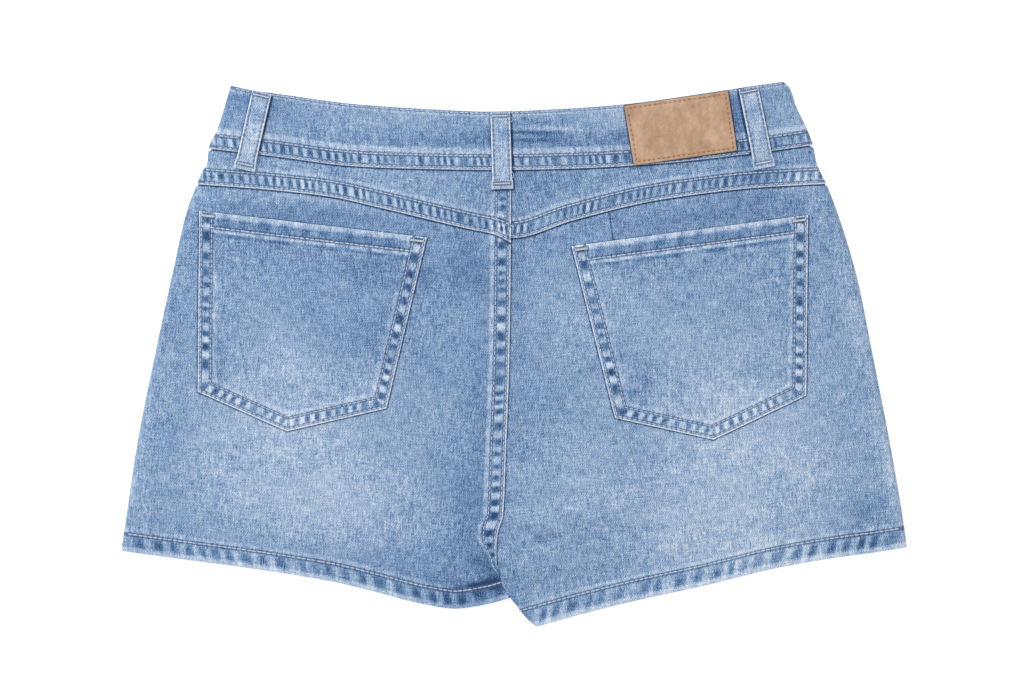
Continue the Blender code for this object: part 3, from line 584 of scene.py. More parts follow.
def thinned(count, keep):
    """Every UNDER_STEP-th index, with the first and last few ones all kept."""
    inner = range(keep, count - keep, UNDER_STEP)
    return sorted({*range(min(keep, count)), *inner, *range(max(count - keep, 0), count)})


def quads(index):
    """The faces between a grid's points, from their indexes."""
    corners = [index[:-1, :-1], index[1:, :-1], index[1:, 1:], index[:-1, 1:]]
    return np.stack(corners, -1).reshape(-1, 4).tolist()


def shell_faces(rows, columns, kept_rows, kept_columns):
    """Faces of a closed shell: a full grid above, a thinned one under it and a rim between them."""
    index = np.arange(rows * columns).reshape(rows, columns)
    low = rows * columns + np.arange(len(kept_rows) * len(kept_columns)).reshape(len(kept_rows), -1)
    faces = quads(index) + quads(low.T)
    borders = [
        (index[0], low[0], kept_columns), (index[:, -1], low[:, -1], kept_rows),
        (index[-1, ::-1], low[-1, ::-1], [columns - 1 - c for c in reversed(kept_columns)]),
        (index[::-1, 0], low[::-1, 0], [rows - 1 - r for r in reversed(kept_rows)]),
    ]
    for upper_border, low_border, kept in borders:
        for number, (start, end) in enumerate(zip(kept, kept[1:])):
            face = [int(i) for i in upper_border[start:end + 1]]
            faces.append(face + [int(low_border[number + 1]), int(low_border[number])])
    return faces


def tube_faces(first, rings, sides):
    """Faces of a closed tube: its first point's index, its rings of points and the points in each."""
    index = first + np.arange(rings * sides).reshape(rings, sides)
    around = np.column_stack([index, index[:, 0]])
    return quads(around.T) + [index[0, ::-1].tolist(), index[-1].tolist()]


def build_shell(name, grid, look, material, side):
    """A closed piece of cloth from its grid, with its relief and marks.

    A piece that lies face down (side -1) is planned as its face is seen, with its heights negated.
    """
    upper = grid.upper.copy()
    x, y = upper[..., 0], upper[..., 1]
    upper[..., 2] += look.relief(x, y) * grid.share
    rows, columns = x.shape
    kept_rows, kept_columns = thinned(rows, 4), thinned(columns, len(ROLL_ANGLES) + 2)
    kept = np.ix_(kept_rows, kept_columns)
    low = grid.under[kept]
    points = np.concatenate([upper.reshape(-1, 3), low.reshape(-1, 3)])
    marks = look.marks(x, y)
    low_marks = {mark: values[kept] for mark, values in marks.items()}
    # What lies on the cloth leaves no dark line on its inner side.
    low_marks["ditch"] = np.full(low.shape[:2], FAR)
    marks = {mark: np.concatenate([marks[mark].ravel(), low_marks[mark].ravel()]) for mark in marks}
    faces = shell_faces(rows, columns, kept_rows, kept_columns)
    if side < 0.0:
        points[:, 2] *= -1.0
        faces = [face[::-1] for face in faces]
    return build_mesh(name, points, faces, material, marks)


# ---- looks: relief, wear and marks

BASE_WASH = 0.472
UNWORN = 0.05  # how much darker the cloth stays between a fold and its stitches


class Look:
    """What sewing, wear and painted shade do to a piece. Every entry is a function of x and y in millimetres.
    """

    def __init__(self, wear=(), creases=()):
        self.reliefs = [lambda x, y: all_folds(creases, x, y)]
        self.washes = [lambda x, y: all_folds(wear, x, y)]
        self.ditches, self.rows = [], []

    def relief(self, x, y):
        return sum(entry(x, y) for entry in self.reliefs)

    def marks(self, x, y):
        wash = BASE_WASH + sum(entry(x, y) for entry in self.washes)
        return {
            "wash": wash + 0.0 * x,
            "ditch": self.nearest(self.ditches, x, y),
            "row": self.nearest(self.rows, x, y),
        }

    @staticmethod
    def nearest(entries, x, y):
        return np.minimum.reduce([np.full(np.shape(x), FAR)] + [entry(x, y) for entry in entries])


# The dark line beside stitches, partly unworn indigo and partly painted shade, narrows and widens with them,
# by so much to either side.
DASHES = 0.3
THICK_REACH = 0.35  # mm by which the dark line reaches further beside a thick thread
LOOP_REACH = -0.45  # and beside the fine thread of the belt loops
DASH_PITCH = 3.3
GROOVE_WIDTH = 0.45

# A seam as a piece sees it: how far inwards from its edge a place lies, and how far along it.
Seam = namedtuple("Seam", "inward along")


def flat_seam(curve, side=1.0, shift=0.0):
    """A seam given as y of x, with the piece on its north side (1) or south side (-1)."""
    return Seam(lambda x, y: side * curve.distance(x, y) - shift, lambda x, y: curve.length_to(x))


def fold_seam():
    """The centre seam, given as x of y, with the piece on its west side."""
    return Seam(lambda x, y: -centre_fold.distance(y, x), lambda x, y: centre_fold.length_to(y))


def line_seam(start, end):
    """A straight seam with the piece on the right hand of the way from start to end."""
    length = math.dist(start, end)
    way = ((end[0] - start[0]) / length, (end[1] - start[1]) / length)
    return Seam(
        lambda x, y: (x - start[0]) * way[1] - (y - start[1]) * way[0],
        lambda x, y: (x - start[0]) * way[0] + (y - start[1]) * way[1],
    )


def everywhere(x, y):
    return np.ones(np.shape(x))


# How a sewn edge has roped: the pitch and slant of its puckers, their depth and the wear on them.
Roping = namedtuple("Roping", "pitch slant depth contrast seed")


def sew_edge(
    look, seam, rows, ropes, edge_wear=0.3, edge_width=1.7, window=everywhere, ridge=0.16,
    ridge_at=(1.8, 3.2), groove=0.16, unworn=UNWORN, reach=0.0,
):
    """Puckers between a folded edge and its last row, wear on the fold, and a worn ridge past the row."""
    first, last = (rows[0] if len(rows) > 1 else 1.0), rows[-1]
    middle, half = (first + last) / 2.0, (last - first) / 2.0

    def puckers(x, y):
        return roping(seam.along(x, y), seam.inward(x, y), ropes.pitch, ropes.slant, ropes.seed)

    def relief(x, y):
        inward = seam.inward(x, y)
        between = band(0.9, last - 0.5, 1.2, inward) * window(x, y)
        grooves = sum(np.exp(-(((inward - row) / GROOVE_WIDTH) ** 2)) for row in rows)
        hollow = 0.5 - 0.5 * puckers(x, y)
        return -ropes.depth * between * hollow - groove * grooves * window(x, y)

    def wash(x, y):
        inward = seam.inward(x, y)
        from_middle = np.abs(inward - middle)
        between = 1.0 - smooth(0.7 * half, 0.94 * half, from_middle)
        wave = puckers(x, y)
        ridges = np.maximum(wave, 0.0) * (1.0 - smooth(0.55 * half, 0.94 * half, from_middle))
        hollows = np.maximum(-wave, 0.0) * (1.0 - smooth(0.2 * half, 0.9 * half, from_middle))
        fold = (1.0 - smooth(0.5 * edge_width, edge_width, inward)) * (1.0 + 0.2 * wave)
        past_row = band(last + ridge_at[0], last + ridge_at[1], 1.2, inward) * (0.8 + 0.4 * wave)
        inner = ropes.contrast * (1.05 * ridges - 1.15 * hollows) - unworn * between
        return window(x, y) * (inner + edge_wear * fold + ridge * past_row)

    def from_row(x, y, row):
        dashes = DASHES * np.sin(2.0 * math.pi * seam.along(x, y) / DASH_PITCH)
        nearer = reach if row == last else 0.0
        return np.abs(seam.inward(x, y) - row) - nearer + dashes + FAR * (window(x, y) < 0.5)

    look.reliefs.append(relief)
    look.washes.append(wash)
    look.rows += [lambda x, y, row=row: from_row(x, y, row) for row in rows]


def add_ditch(look, outward, window=everywhere, weaker=0.0):
    """The dark line beside what lies on the cloth, from its edge outwards: partly unworn indigo, partly
    painted shade.
    """
    look.ditches.append(lambda x, y: outward(x, y) + weaker + FAR * (window(x, y) < 0.5))


def south_of(curve):
    """How far a place lies south of a seam given as y of x."""
    return lambda x, y: -curve.distance(x, y)


def past_centre(x, y):
    """How far a place lies east of the centre fold."""
    return x - centre_fold(y)


# ---- sewing thread

STRAND_SIDES = 6
STRAND_ANGLES = np.arange(STRAND_SIDES) * 2.0 * math.pi / STRAND_SIDES
# Along a stitch: place from its middle in half lengths, lift above the cloth in mm, and share of its radius.
STITCH_RINGS = [
    (-1.0, -0.34, 0.45), (-0.72, 0.0, 0.9), (0.0, 0.12, 1.0), (0.72, 0.0, 0.9), (1.0, -0.34, 0.45),
]
TACK_RINGS = [(-1.0, -0.3, 0.6), (-0.7, 0.3, 1.0), (0.0, 0.42, 1.0), (0.7, 0.3, 1.0), (1.0, -0.3, 0.6)]
STITCH_SLIP = 0.06  # share of the pitch that a stitch may lie before or behind its place
STITCH_WANDER = 0.07  # radians that a stitch may turn, and mm that it may lie aside
STITCH_LENGTHS = (0.9, 1.05)  # the shortest and the longest, as shares of a stitch's length
THICK = 1.35  # how much thicker the thread is that shows in full beside a hem or an upper row
TACK_SPACING = 0.42
TACK_LEAN = 0.12  # of a bar tack's threads to either side, in radians
TACK_WANDER = 0.06
TACK_WIDTHS = (0.92, 1.08)  # the narrowest and the widest, as shares of a bar tack's width
LOOSE_THREAD = 0.4
CURL_STEPS = 5  # of a loose end's mesh, from one of its places to the next
CURL_SMOOTHINGS = 3

# A piece's place: its grid, its upper surface, what sewing, wear and painted shade do to it, and its fabric.
Piece = namedtuple("Piece", "node grid top look fabric")
# A bar tack: its middle, its direction in degrees, and its length and width.
Tack = namedtuple("Tack", "x y turn length width")


def measured(path):
    """A path's points and the length of way up to each."""
    path = np.asarray(path, float)
    runs = np.hypot(*np.diff(path, axis=0).T)
    return path, np.concatenate([[0.0], np.cumsum(runs)])


def surface_of(piece, side=1.0):
    """The height of a piece's outer face, with its relief."""
    return lambda x, y: side * (piece.top(x, y) + piece.look.relief(x, y))


def strands(name, centres, ways, lengths, widths, height, material, rings=STITCH_RINGS, side=1.0):
    """Short threads on the cloth as one mesh. height gives the cloth's surface at a place."""
    centres, ways = np.asarray(centres, float), np.asarray(ways, float)
    points = np.empty((len(centres), len(rings), STRAND_SIDES, 3))
    for number, (place, lift, girth) in enumerate(rings):
        middle = centres + ways * (np.asarray(lengths) * 0.5 * place)[:, None]
        z = height(middle[:, 0], middle[:, 1]) + side * lift
        radius = 0.5 * widths * girth
        for turn, angle in enumerate(STRAND_ANGLES):
            sideways = radius * math.cos(angle)
            points[:, number, turn, 0] = middle[:, 0] - ways[:, 1] * sideways
            points[:, number, turn, 1] = middle[:, 1] + ways[:, 0] * sideways
            points[:, number, turn, 2] = z + radius * math.sin(angle)
    faces = []
    for strand in range(len(centres)):
        tube = tube_faces(strand * len(rings) * STRAND_SIDES, len(rings), STRAND_SIDES)
        faces += [face[::-1] for face in tube]
    return build_mesh(name, points.reshape(-1, 3), faces, material)


def nowhere(x, y):
    return np.zeros(np.shape(x), bool)


def sew(piece, paths, seed, covered=nowhere, side=1.0, thread=None, thickness=1.0, shown_length=1.0):
    """Rows of stitches along paths, each a little off its place as a machine's are, but none covered.

    thickness is each row's, as a share of the thread's, and shown_length is a share of a stitch's length.
    """
    sewing = bpy.context.scene.skort_sewing
    chance = np.random.RandomState(seed)
    pitch = sewing.stitch_pitch / MM
    rows = []
    for path, thick in zip(paths, np.broadcast_to(thickness, len(paths))):
        path, run = measured(path)
        places = np.arange(0.5 * pitch, run[-1] - 0.4 * pitch, pitch)
        places += chance.uniform(-STITCH_SLIP, STITCH_SLIP, len(places)) * pitch
        start, end = (
            np.column_stack([np.interp(places + step, run, path[:, axis]) for axis in (0, 1)])
            for step in (-0.5, 0.5)
        )
        way = end - start
        way /= np.hypot(way[:, 0], way[:, 1])[:, None]
        turn = chance.uniform(-STITCH_WANDER, STITCH_WANDER, len(places))[:, None]
        across = np.column_stack([-way[:, 1], way[:, 0]])
        way = way * np.cos(turn) + across * np.sin(turn)
        aside = chance.uniform(-STITCH_WANDER, STITCH_WANDER, len(places))[:, None]
        width = np.full(len(places), thick * sewing.thread_width / MM)
        rows.append(((start + end) / 2.0 + across * aside, way, width))
    centres, ways, widths = (np.concatenate(values) for values in zip(*rows))
    lengths = shown_length * sewing.stitch_length / MM * chance.uniform(*STITCH_LENGTHS, len(centres))
    shown = ~covered(centres[:, 0], centres[:, 1])
    kept = [values[shown] for values in (centres, ways, lengths, widths)]
    strands("stitches_" + piece.node, *kept, surface_of(piece, side), thread or seam_thread(), side=side)


def tack_at(place, way, length, width):
    return Tack(*place, math.degrees(math.atan2(way[1], way[0])), length, width)


def bar_tacks(piece, tacks, seed):
    """Close zigzag bars that fasten the ends of seams."""
    sewing = bpy.context.scene.skort_sewing
    chance = np.random.RandomState(seed)
    centres, ways, lengths = [], [], []
    for tack in tacks:
        turn = math.radians(tack.turn)
        along = np.array([math.cos(turn), math.sin(turn)])
        across = np.array([-along[1], along[0]])
        count = int(tack.length / TACK_SPACING)
        for number in range(count):
            place = (number + 0.5) / count - 0.5
            lean = (TACK_LEAN if number % 2 else -TACK_LEAN) + chance.uniform(-TACK_WANDER, TACK_WANDER)
            centres.append(np.array([tack.x, tack.y]) + along * tack.length * place)
            ways.append(across * math.cos(lean) + along * math.sin(lean))
            lengths.append(tack.width * chance.uniform(*TACK_WIDTHS))
    thread = made_once("corespun_tack_thread", sewing_thread, sewing.tack_colour[:])
    name, width = "tacks_" + piece.node, sewing.thread_width / MM
    strands(name, centres, ways, lengths, width, surface_of(piece), thread, TACK_RINGS)


def outside_tack(tack):
    """How far a place lies outside a bar tack, which puckers the cloth round it; the dark line there is
    painted shade and unworn indigo.
    """
    def distance(x, y):
        along, across = along_across(x, y, tack)
        return np.maximum(np.abs(along) - 0.5 * tack.length, np.abs(across) - 0.5 * tack.width)

    return distance


def loose_threads(piece, curls):
    """Short loose ends of thread. Each is a list of places with their height above the cloth."""
    points, faces = [], []
    height = surface_of(piece)
    for curl in curls:
        steps = np.linspace(0, len(curl) - 1, (len(curl) - 1) * CURL_STEPS + 1)
        curl = np.column_stack([np.interp(steps, np.arange(len(curl)), values) for values in zip(*curl)])
        for _ in range(CURL_SMOOTHINGS):
            curl[1:-1] = (curl[:-2] + 2.0 * curl[1:-1] + curl[2:]) / 4.0
        curl[:, 2] += height(curl[:, 0], curl[:, 1])
        way = np.gradient(curl, axis=0)
        way /= np.linalg.norm(way, axis=1)[:, None]
        sideways = np.cross(way, [0.0, 0.0, 1.0])
        sideways /= np.maximum(np.linalg.norm(sideways, axis=1), 1e-6)[:, None]
        upwards = np.cross(sideways, way)
        faces += tube_faces(len(points), len(curl), STRAND_SIDES)
        for middle, beside, up in zip(curl, sideways, upwards):
            for angle in STRAND_ANGLES:
                around = beside * math.cos(angle) + up * math.sin(angle)
                points.append(middle + 0.5 * LOOSE_THREAD * around)
    build_mesh("loose_ends_" + piece.node, points, faces, seam_thread())


# ---- materials


def linear(hex_colour):
    """A colour written as sRGB hex, such as 8FA6C5, as the linear values that shaders take."""
    values = [int(hex_colour[i:i + 2], 16) / 255.0 for i in (0, 2, 4)]
    return [v / 12.92 if v <= 0.04045 else ((v + 0.055) / 1.055) ** 2.4 for v in values]


def feed(tree, node, inputs):
    """Gives a node's inputs their values, or the sockets that feed them."""
    for key, value in inputs.items():
        if isinstance(value, bpy.types.NodeSocket):
            tree.links.new(value, node.inputs[key])
        else:
            node.inputs[key].default_value = value


def add(tree, kind, inputs=None, **settings):
    """Adds a shader node with its settings; each input is a value or the socket that feeds it."""
    node = tree.nodes.new("ShaderNode" + kind)
    for name, value in settings.items():
        setattr(node, name, value)
    feed(tree, node, inputs or {})
    return node


def new_material(name):
    """An empty material: its node tree, its shader and the place on the object."""
    material = bpy.data.materials.new(name)
    material.use_nodes = True
    tree = material.node_tree
    place = add(tree, "TexCoord").outputs["Object"]
    return material, tree, tree.nodes["Principled BSDF"], place


def set_ramp(node, stops):
    """Gives a colour ramp its stops, as pairs of place and linear colour, and gives back its colour."""
    ramp = node.color_ramp
    while len(ramp.elements) > 1:
        ramp.elements.remove(ramp.elements[-1])
    for number, (place, colour) in enumerate(stops):
        stop = ramp.elements[0] if number == 0 else ramp.elements.new(place)
        stop.position = place
        stop.color = (*colour, 1.0)
    return node.outputs[0]


def summed(tree, parts):
    """The sum of weighted values, as pairs of socket and weight."""
    total = 0.0
    for socket, weight in parts:
        inputs = {0: socket, 1: weight, 2: total}
        total = add(tree, "Math", inputs, operation="MULTIPLY_ADD").outputs[0]
    return total


def scaled(colour, factor):
    return [min(value * factor, 1.0) for value in colour]


RIB_TURN = 35.0  # degrees by which the twill's ribs slant
RIB_SCALE = 0.31  # of the wave texture, for ribs 1 mm apart
# How much each pattern of the cloth changes its wash.
RIBS, WARP, WEFT, FLECK, MOTTLE, CLOUD = 0.16, 0.55, 0.32, 1.0, 0.22, 0.16


def washed_denim(name, fabric, cloth):
    """Washed 3/1 twill of indigo warp and white weft, woven on a shuttleless loom and stone washed.

    It looks matt and mottled: pale where wear has bared the warp's white core, dark in the ditches
    by the seams and along the stitches, where unworn indigo has painted shade on it, with faint slanting
    ribs and slubby upright streaks.
    """
    material, tree, shader, place = new_material(name)
    millimetres = add(
        tree, "Mapping",
        {"Vector": place, "Rotation": (0.0, 0.0, -math.radians(fabric.warp_turn)), "Scale": (1.0 / MM,) * 3},
    ).outputs[0]
    # Ribs: bands that slant up to the right, with their straightness broken as yarns wander.
    slanted = add(
        tree, "Mapping",
        {"Vector": millimetres, "Rotation": (0.0, 0.0, math.radians(RIB_TURN)),
         "Scale": (RIB_SCALE / (cloth.twill_rib / MM),) * 3},
    ).outputs[0]
    ribs = add(
        tree, "TexWave",
        {"Vector": slanted, "Scale": 1.0, "Distortion": 1.1, "Detail": 1.0, "Detail Scale": 1.5},
        wave_type="BANDS", bands_direction="X", wave_profile="SIN",
    ).outputs["Fac"]

    def threads(spacing, length, detail, seed):
        """Mottling as long as a slub and as wide as its yarn; the seed moves it to another height."""
        stretched = add(
            tree, "Mapping",
            {"Vector": millimetres, "Scale": (1.0 / spacing, 1.0 / length, 1.0), "Location": (0, 0, seed)},
        ).outputs[0]
        return add(
            tree, "TexNoise", {"Vector": stretched, "Scale": 1.0, "Detail": detail, "Roughness": 0.6}
        ).outputs["Fac"]

    yarn = cloth.yarn_spacing / MM
    # Yarns are 0.4 mm apart, finer than a pixel, so streaks and flecks are drawn about twice as coarse.
    warp = threads(2.0 * yarn, 14.0 * yarn, 1.0, 3.0)
    weft = threads(16.0 * yarn, 2.2 * yarn, 1.0, 11.0)
    fleck = threads(1.6 * yarn, 1.9 * yarn, 2.0, 23.0)
    mottle = threads(9.0, 9.0, 2.0, 31.0)
    cloud = threads(40.0, 40.0, 2.0, 47.0)
    worn = add(tree, "Attribute", attribute_name="wash").outputs["Fac"]
    # The edges of ditches and rows are as uneven as the cloth's flecks.
    ditch, groove = (
        add(
            tree, "MapRange",
            {"Value": summed(tree, [
                (fleck, uneven), (add(tree, "Attribute", attribute_name=mark).outputs["Fac"], 1.0),
            ]), "From Min": start, "From Max": end, "To Min": 1.0, "To Max": 0.0},
            interpolation_type="SMOOTHSTEP",
        ).outputs[0]
        for mark, uneven, start, end in (("ditch", 0.9, 0.8, 2.0), ("row", 0.5, 0.9, 1.5))
    )
    contrast = cloth.weave_contrast
    parts = [
        (worn, 1.0), (ribs, RIBS * fabric.twill * contrast), (warp, WARP * contrast), (weft, WEFT * contrast),
        (fleck, FLECK * contrast), (mottle, MOTTLE * contrast), (cloud, CLOUD),
        (ditch, -cloth.ditch_shade_darkness), (groove, -cloth.groove_shade_darkness),
    ]
    # Each pattern's middle is half its weight, which comes off again.
    woven = RIBS * fabric.twill + WARP + WEFT + FLECK + MOTTLE
    middle = 0.5 * woven * contrast + 0.5 * CLOUD - fabric.pale
    wash = add(tree, "Math", {0: summed(tree, parts), 1: middle}, operation="SUBTRACT").outputs[0]
    indigo = set_ramp(add(tree, "ValToRGB", {"Fac": wash}), [
        (0.0, cloth.unworn_indigo), (0.3, cloth.dark_indigo), (0.54, cloth.washed_blue),
        (0.76, cloth.worn_blue), (1.0, cloth.bared_core),
    ])
    # Painted shade, with the thread's colour, greys the grooves of the stitches.
    greyed = add(
        tree, "Mix", {0: summed(tree, [(groove, 0.4)]), 6: indigo, 7: (*cloth.groove_shade_grey, 1.0)},
        data_type="RGBA",
    ).outputs[2]
    relief = summed(tree, [(ribs, 0.5), (warp, 0.5), (fleck, 1.0)])
    bump = add(tree, "Bump", {"Height": relief, "Strength": 0.55, "Distance": 0.00022}).outputs[0]
    feed(tree, shader, {
        "Base Color": greyed, "Normal": bump, "Roughness": 0.88, "IOR": 1.5, "Specular IOR Level": 0.25,
        "Sheen Weight": 0.12, "Sheen Roughness": 0.6,
    })
    return material


def sewing_thread(name, colour):
    """Core-spun polyester and cotton thread, twisted and washed: dull, with a faint highlight along it."""
    material, tree, shader, place = new_material(name)
    # Its twist of about 0.5 mm shows as a fine grain.
    grain = add(tree, "TexNoise", {"Vector": place, "Scale": 1900.0, "Detail": 1.0}).outputs["Fac"]
    stain = add(tree, "TexNoise", {"Vector": place, "Scale": 160.0, "Detail": 2.0}).outputs["Fac"]
    ramp = add(tree, "ValToRGB", {"Fac": summed(tree, [(grain, 0.6), (stain, 0.6)])})
    dyed = set_ramp(ramp, [(0.35, scaled(colour, 0.62)), (0.6, colour), (0.85, scaled(colour, 1.25))])
    bump = add(tree, "Bump", {"Height": grain, "Strength": 0.5, "Distance": 0.0001}).outputs[0]
    feed(tree, shader, {"Base Color": dyed, "Normal": bump, "Roughness": 0.6, "Specular IOR Level": 0.4})
    return material


def waxed_leather(name, leather):
    """Split leather, sueded, waxed and washed with the garment.

    It is tan with darker clouds, a dull nap and rubbed edges.
    """
    material, tree, shader, place = new_material(name)
    clouds = add(
        tree, "TexNoise", {"Vector": place, "Scale": 75.0, "Detail": 3.0, "Roughness": 0.55}
    ).outputs["Fac"]
    stretched = add(tree, "Mapping", {"Vector": place, "Scale": (330.0, 150.0, 200.0)}).outputs[0]
    scuffs = add(tree, "TexNoise", {"Vector": stretched, "Scale": 1.0, "Detail": 3.0}).outputs["Fac"]
    # Grain of about 0.7 mm, as on split leather.
    grain = add(
        tree, "TexVoronoi", {"Vector": place, "Scale": 1400.0, "Randomness": 1.0}, feature="F1"
    ).outputs["Distance"]
    nap = add(tree, "TexNoise", {"Vector": place, "Scale": 1100.0, "Detail": 2.0}).outputs["Fac"]
    rim, holes = (
        add(
            tree, "MapRange",
            {"Value": add(tree, "Attribute", attribute_name=mark).outputs["Fac"],
             "From Min": 0.2, "From Max": end, "To Min": 1.0, "To Max": 0.0},
            interpolation_type="SMOOTHSTEP",
        ).outputs[0]
        for mark, end in (("ditch", 1.1), ("row", 0.9))
    )
    tone = summed(tree, [(clouds, 0.75), (scuffs, 0.5), (nap, 0.35), (rim, -0.03), (holes, -0.07)])
    ramp = add(tree, "ValToRGB", {"Fac": tone})
    tanned = set_ramp(ramp, [(0.5, leather.dark_tan), (0.8, leather.tan), (1.0, leather.pale_tan)])
    relief = summed(tree, [(grain, 0.5), (nap, 0.8)])
    bump = add(tree, "Bump", {"Height": relief, "Strength": 0.4, "Distance": 0.00025}).outputs[0]
    feed(tree, shader, {
        "Base Color": tanned, "Normal": bump, "Roughness": 0.62, "Specular IOR Level": 0.4,
        "Sheen Weight": 0.08,
    })
    return material


def aged_brass(name, colour):
    """Die-struck brass with an antique tumbled finish: dull gold, darker in patches, softly shiny."""
    material, tree, shader, place = new_material(name)
    tarnish = add(tree, "TexNoise", {"Vector": place, "Scale": 420.0, "Detail": 4.0}).outputs["Fac"]
    ramp = add(tree, "ValToRGB", {"Fac": tarnish})
    aged = set_ramp(ramp, [(0.35, scaled(colour, 0.45)), (0.62, colour)])
    # Tumbling leaves scratches of about 0.3 mm.
    scratches = add(tree, "TexNoise", {"Vector": place, "Scale": 3000.0, "Detail": 2.0}).outputs["Fac"]
    bump = add(tree, "Bump", {"Height": scratches, "Strength": 0.25, "Distance": 0.00005}).outputs[0]
    feed(tree, shader, {"Base Color": aged, "Normal": bump, "Metallic": 1.0, "Roughness": 0.38})
    return material


# ---- sizes and colours that a user would change


def colour(name, description, hex_colour):
    return bpy.props.FloatVectorProperty(
        name=name, description=description, subtype="COLOR", default=linear(hex_colour), min=0.0, max=1.0
    )


def number(name, description, default, **details):
    return bpy.props.FloatProperty(name=name, description=description, default=default, **details)


def length(name, description, default):
    return number(name, description, default, unit="LENGTH")


class SKORT_PG_cloth(bpy.types.PropertyGroup):
    """The denim's colours and weave."""

    unworn_indigo: colour("Unworn indigo", "In the ditches beside seams", "1F406A")
    dark_indigo: colour("Dark indigo", "Little washed cloth", "567BA6")
    washed_blue: colour("Washed blue", "Most of the cloth", "8AA5C6")
    worn_blue: colour("Worn blue", "Rubbed cloth", "B4C4D9")
    bared_core: colour("Bared core", "White cores of the yarns on worn folds", "DFE8F4")
    # Painted shade, with the thread's colour, in the grooves beside the stitches.
    groove_shade_grey: colour("Groove grey", "Lint beside the stitches", "5A6478")
    twill_rib: length("Twill rib", "From one slanting rib to the next", 1.3 * MM)
    yarn_spacing: length("Yarn spacing", "From one warp yarn to the next", 0.4 * MM)
    weave_contrast: number("Weave contrast", "How much the yarns differ in colour", 1.22, min=0.0)
    # Darkness beside raised edges: partly unworn indigo, partly painted shade.
    ditch_shade_darkness: number("Ditch darkness", "How unworn the cloth is beside raised edges", 0.58)
    # Darkness along the stitches: partly unworn indigo, partly painted shade.
    groove_shade_darkness: number("Groove darkness", "How unworn the cloth is along stitches", 0.27)


class SKORT_PG_sewing(bpy.types.PropertyGroup):
    """Stitches, bar tacks and their thread."""

    stitch_pitch: length("Stitch pitch", "From one stitch to the next", 3.3 * MM)
    stitch_length: length("Stitch length", "Of the thread that shows", 3.2 * MM)
    thread_width: length("Thread width", "Thickness of the thread", 0.7 * MM)
    tack_length: length("Bar tack length", "Length of a bar tack", 8.0 * MM)
    tack_width: length("Bar tack width", "Width of a bar tack", 1.5 * MM)
    thread_colour: colour("Thread", "Seam thread, once white and dyed by the wash", "B9C8E0")
    tack_colour: colour("Bar tack thread", "Thread of the bar tacks", "CCCDD2")
    loop_thread_colour: colour("Belt loop thread", "Thread along the belt loops, once tan", "7C86A0")
    patch_thread_colour: colour("Patch thread", "Thread round the patch", "8F6C4D")


class SKORT_PG_trim(bpy.types.PropertyGroup):
    """The leather and the button."""

    dark_tan: colour("Dark tan", "Clouds and rubbed edges of the leather", "9E7D5D")
    tan: colour("Tan", "Most of the leather", "B99478")
    pale_tan: colour("Pale tan", "Raised nap of the leather", "CAA98D")
    brass: colour("Brass", "The button", "B39B6B")


class SKORT_PG_stage(bpy.types.PropertyGroup):
    """Floor, light and camera."""

    floor_size: length("Floor size", "Side of the floor", 8.0)
    floor_colour: colour("Floor", "Colour of the floor", "CCCCCC")
    floor_glow: number("Floor glow", "Light that the floor gives off", 0.62, min=0.0)
    sky_strength: number("Fill light", "Brightness of the white surroundings", 0.76, min=0.0)
    key_power: number("Key light", "Power of the large soft light at the upper left, in watts", 30.0, min=0.0)
    lens: number("Lens", "Focal length of the camera", 135.0, unit="CAMERA")


# ---- outlines and rows of small parts


def edge_seams(corners):
    """The edges of a shape given clockwise, as seams with the shape inside them."""
    return [line_seam(start, end) for start, end in zip(corners, corners[1:] + corners[:1])]


def least_inward(seams, x, y):
    return np.minimum.reduce([seam.inward(x, y) for seam in seams])


def outside_of(corners):
    """How far a place lies outside a shape given clockwise."""
    seams = edge_seams(corners)
    return lambda x, y: -least_inward(seams, x, y)


def inset_corners(corners, distances):
    """The corners of a shape given clockwise whose edges are moved in, each by its own distance."""
    corners = [np.array(point, float) for point in corners]
    lines = []
    for start, end, distance in zip(corners, corners[1:] + corners[:1], distances):
        way = (end - start) / math.dist(start, end)
        lines.append((start + distance * np.array([way[1], -way[0]]), way))
    crossings = []
    for (place, way), (other, other_way) in zip(lines[-1:] + lines[:-1], lines):
        cross = way[0] * other_way[1] - way[1] * other_way[0]
        between = other - place
        crossings.append(place + way * (between[0] * other_way[1] - between[1] * other_way[0]) / cross)
    return crossings


def moved(curve, distance):
    return lambda place: curve(place) + distance


def inset_under(side, seam, inward, thickness):
    """A side that steps in under the piece sewn over it."""
    start, end = (corner(seam, side)[1] - below for below in INSET_RAMP)
    return lambda y: side(y) + inward * (thickness + GAP) * smooth(start, end, y)


def beside_seam(curve, start, end, distance):
    """Points north of a seam given as y of x, or south for a negative distance."""
    return np.column_stack(curve.beside(start, end, distance))


def beside_side(curve, start, end, distance):
    """Points east of a side given as x of y, or west for a negative distance."""
    return np.column_stack(curve.beside(start, end, distance)[::-1])


FAINTER_ABOVE = 0.6  # mm by which the dark line above a pocket is thinner
EDGE_SLACK = 0.01
COVER_REACH = 0.8  # mm beside a belt loop or the patch within which nothing is sewn under it

left_back_side = inset_under(left_side, left_yoke_seam, 1.0, CLOTH)
right_back_side = inset_under(right_side, right_yoke_seam, -1.0, CLOTH)
left_yoke_side = inset_under(left_side, waist_seam, 1.0, WAISTBAND_THICKNESS)
right_yoke_side = inset_under(right_side, waist_seam, -1.0, WAISTBAND_THICKNESS)


def loop_ways(loop):
    """A belt loop's length and its directions from top to foot and from west to east."""
    length = math.dist(loop.top, loop.bottom)
    down = (np.array(loop.bottom) - np.array(loop.top)) / length
    return length, down, np.array([-down[1], down[0]])


def loop_corners(loop):
    east = loop_ways(loop)[2]
    top, foot, half = np.array(loop.top), np.array(loop.bottom), BELT_LOOP_WIDTH / 2.0
    return [top - half * east, top + half * east, foot + half * east, foot - half * east]


def beside_loop(loop):
    """How far a place lies from a belt loop's dark line, which is moved to one side by its shade."""
    east = loop_ways(loop)[2]
    return outside_of([place + loop.shade * east for place in loop_corners(loop)])


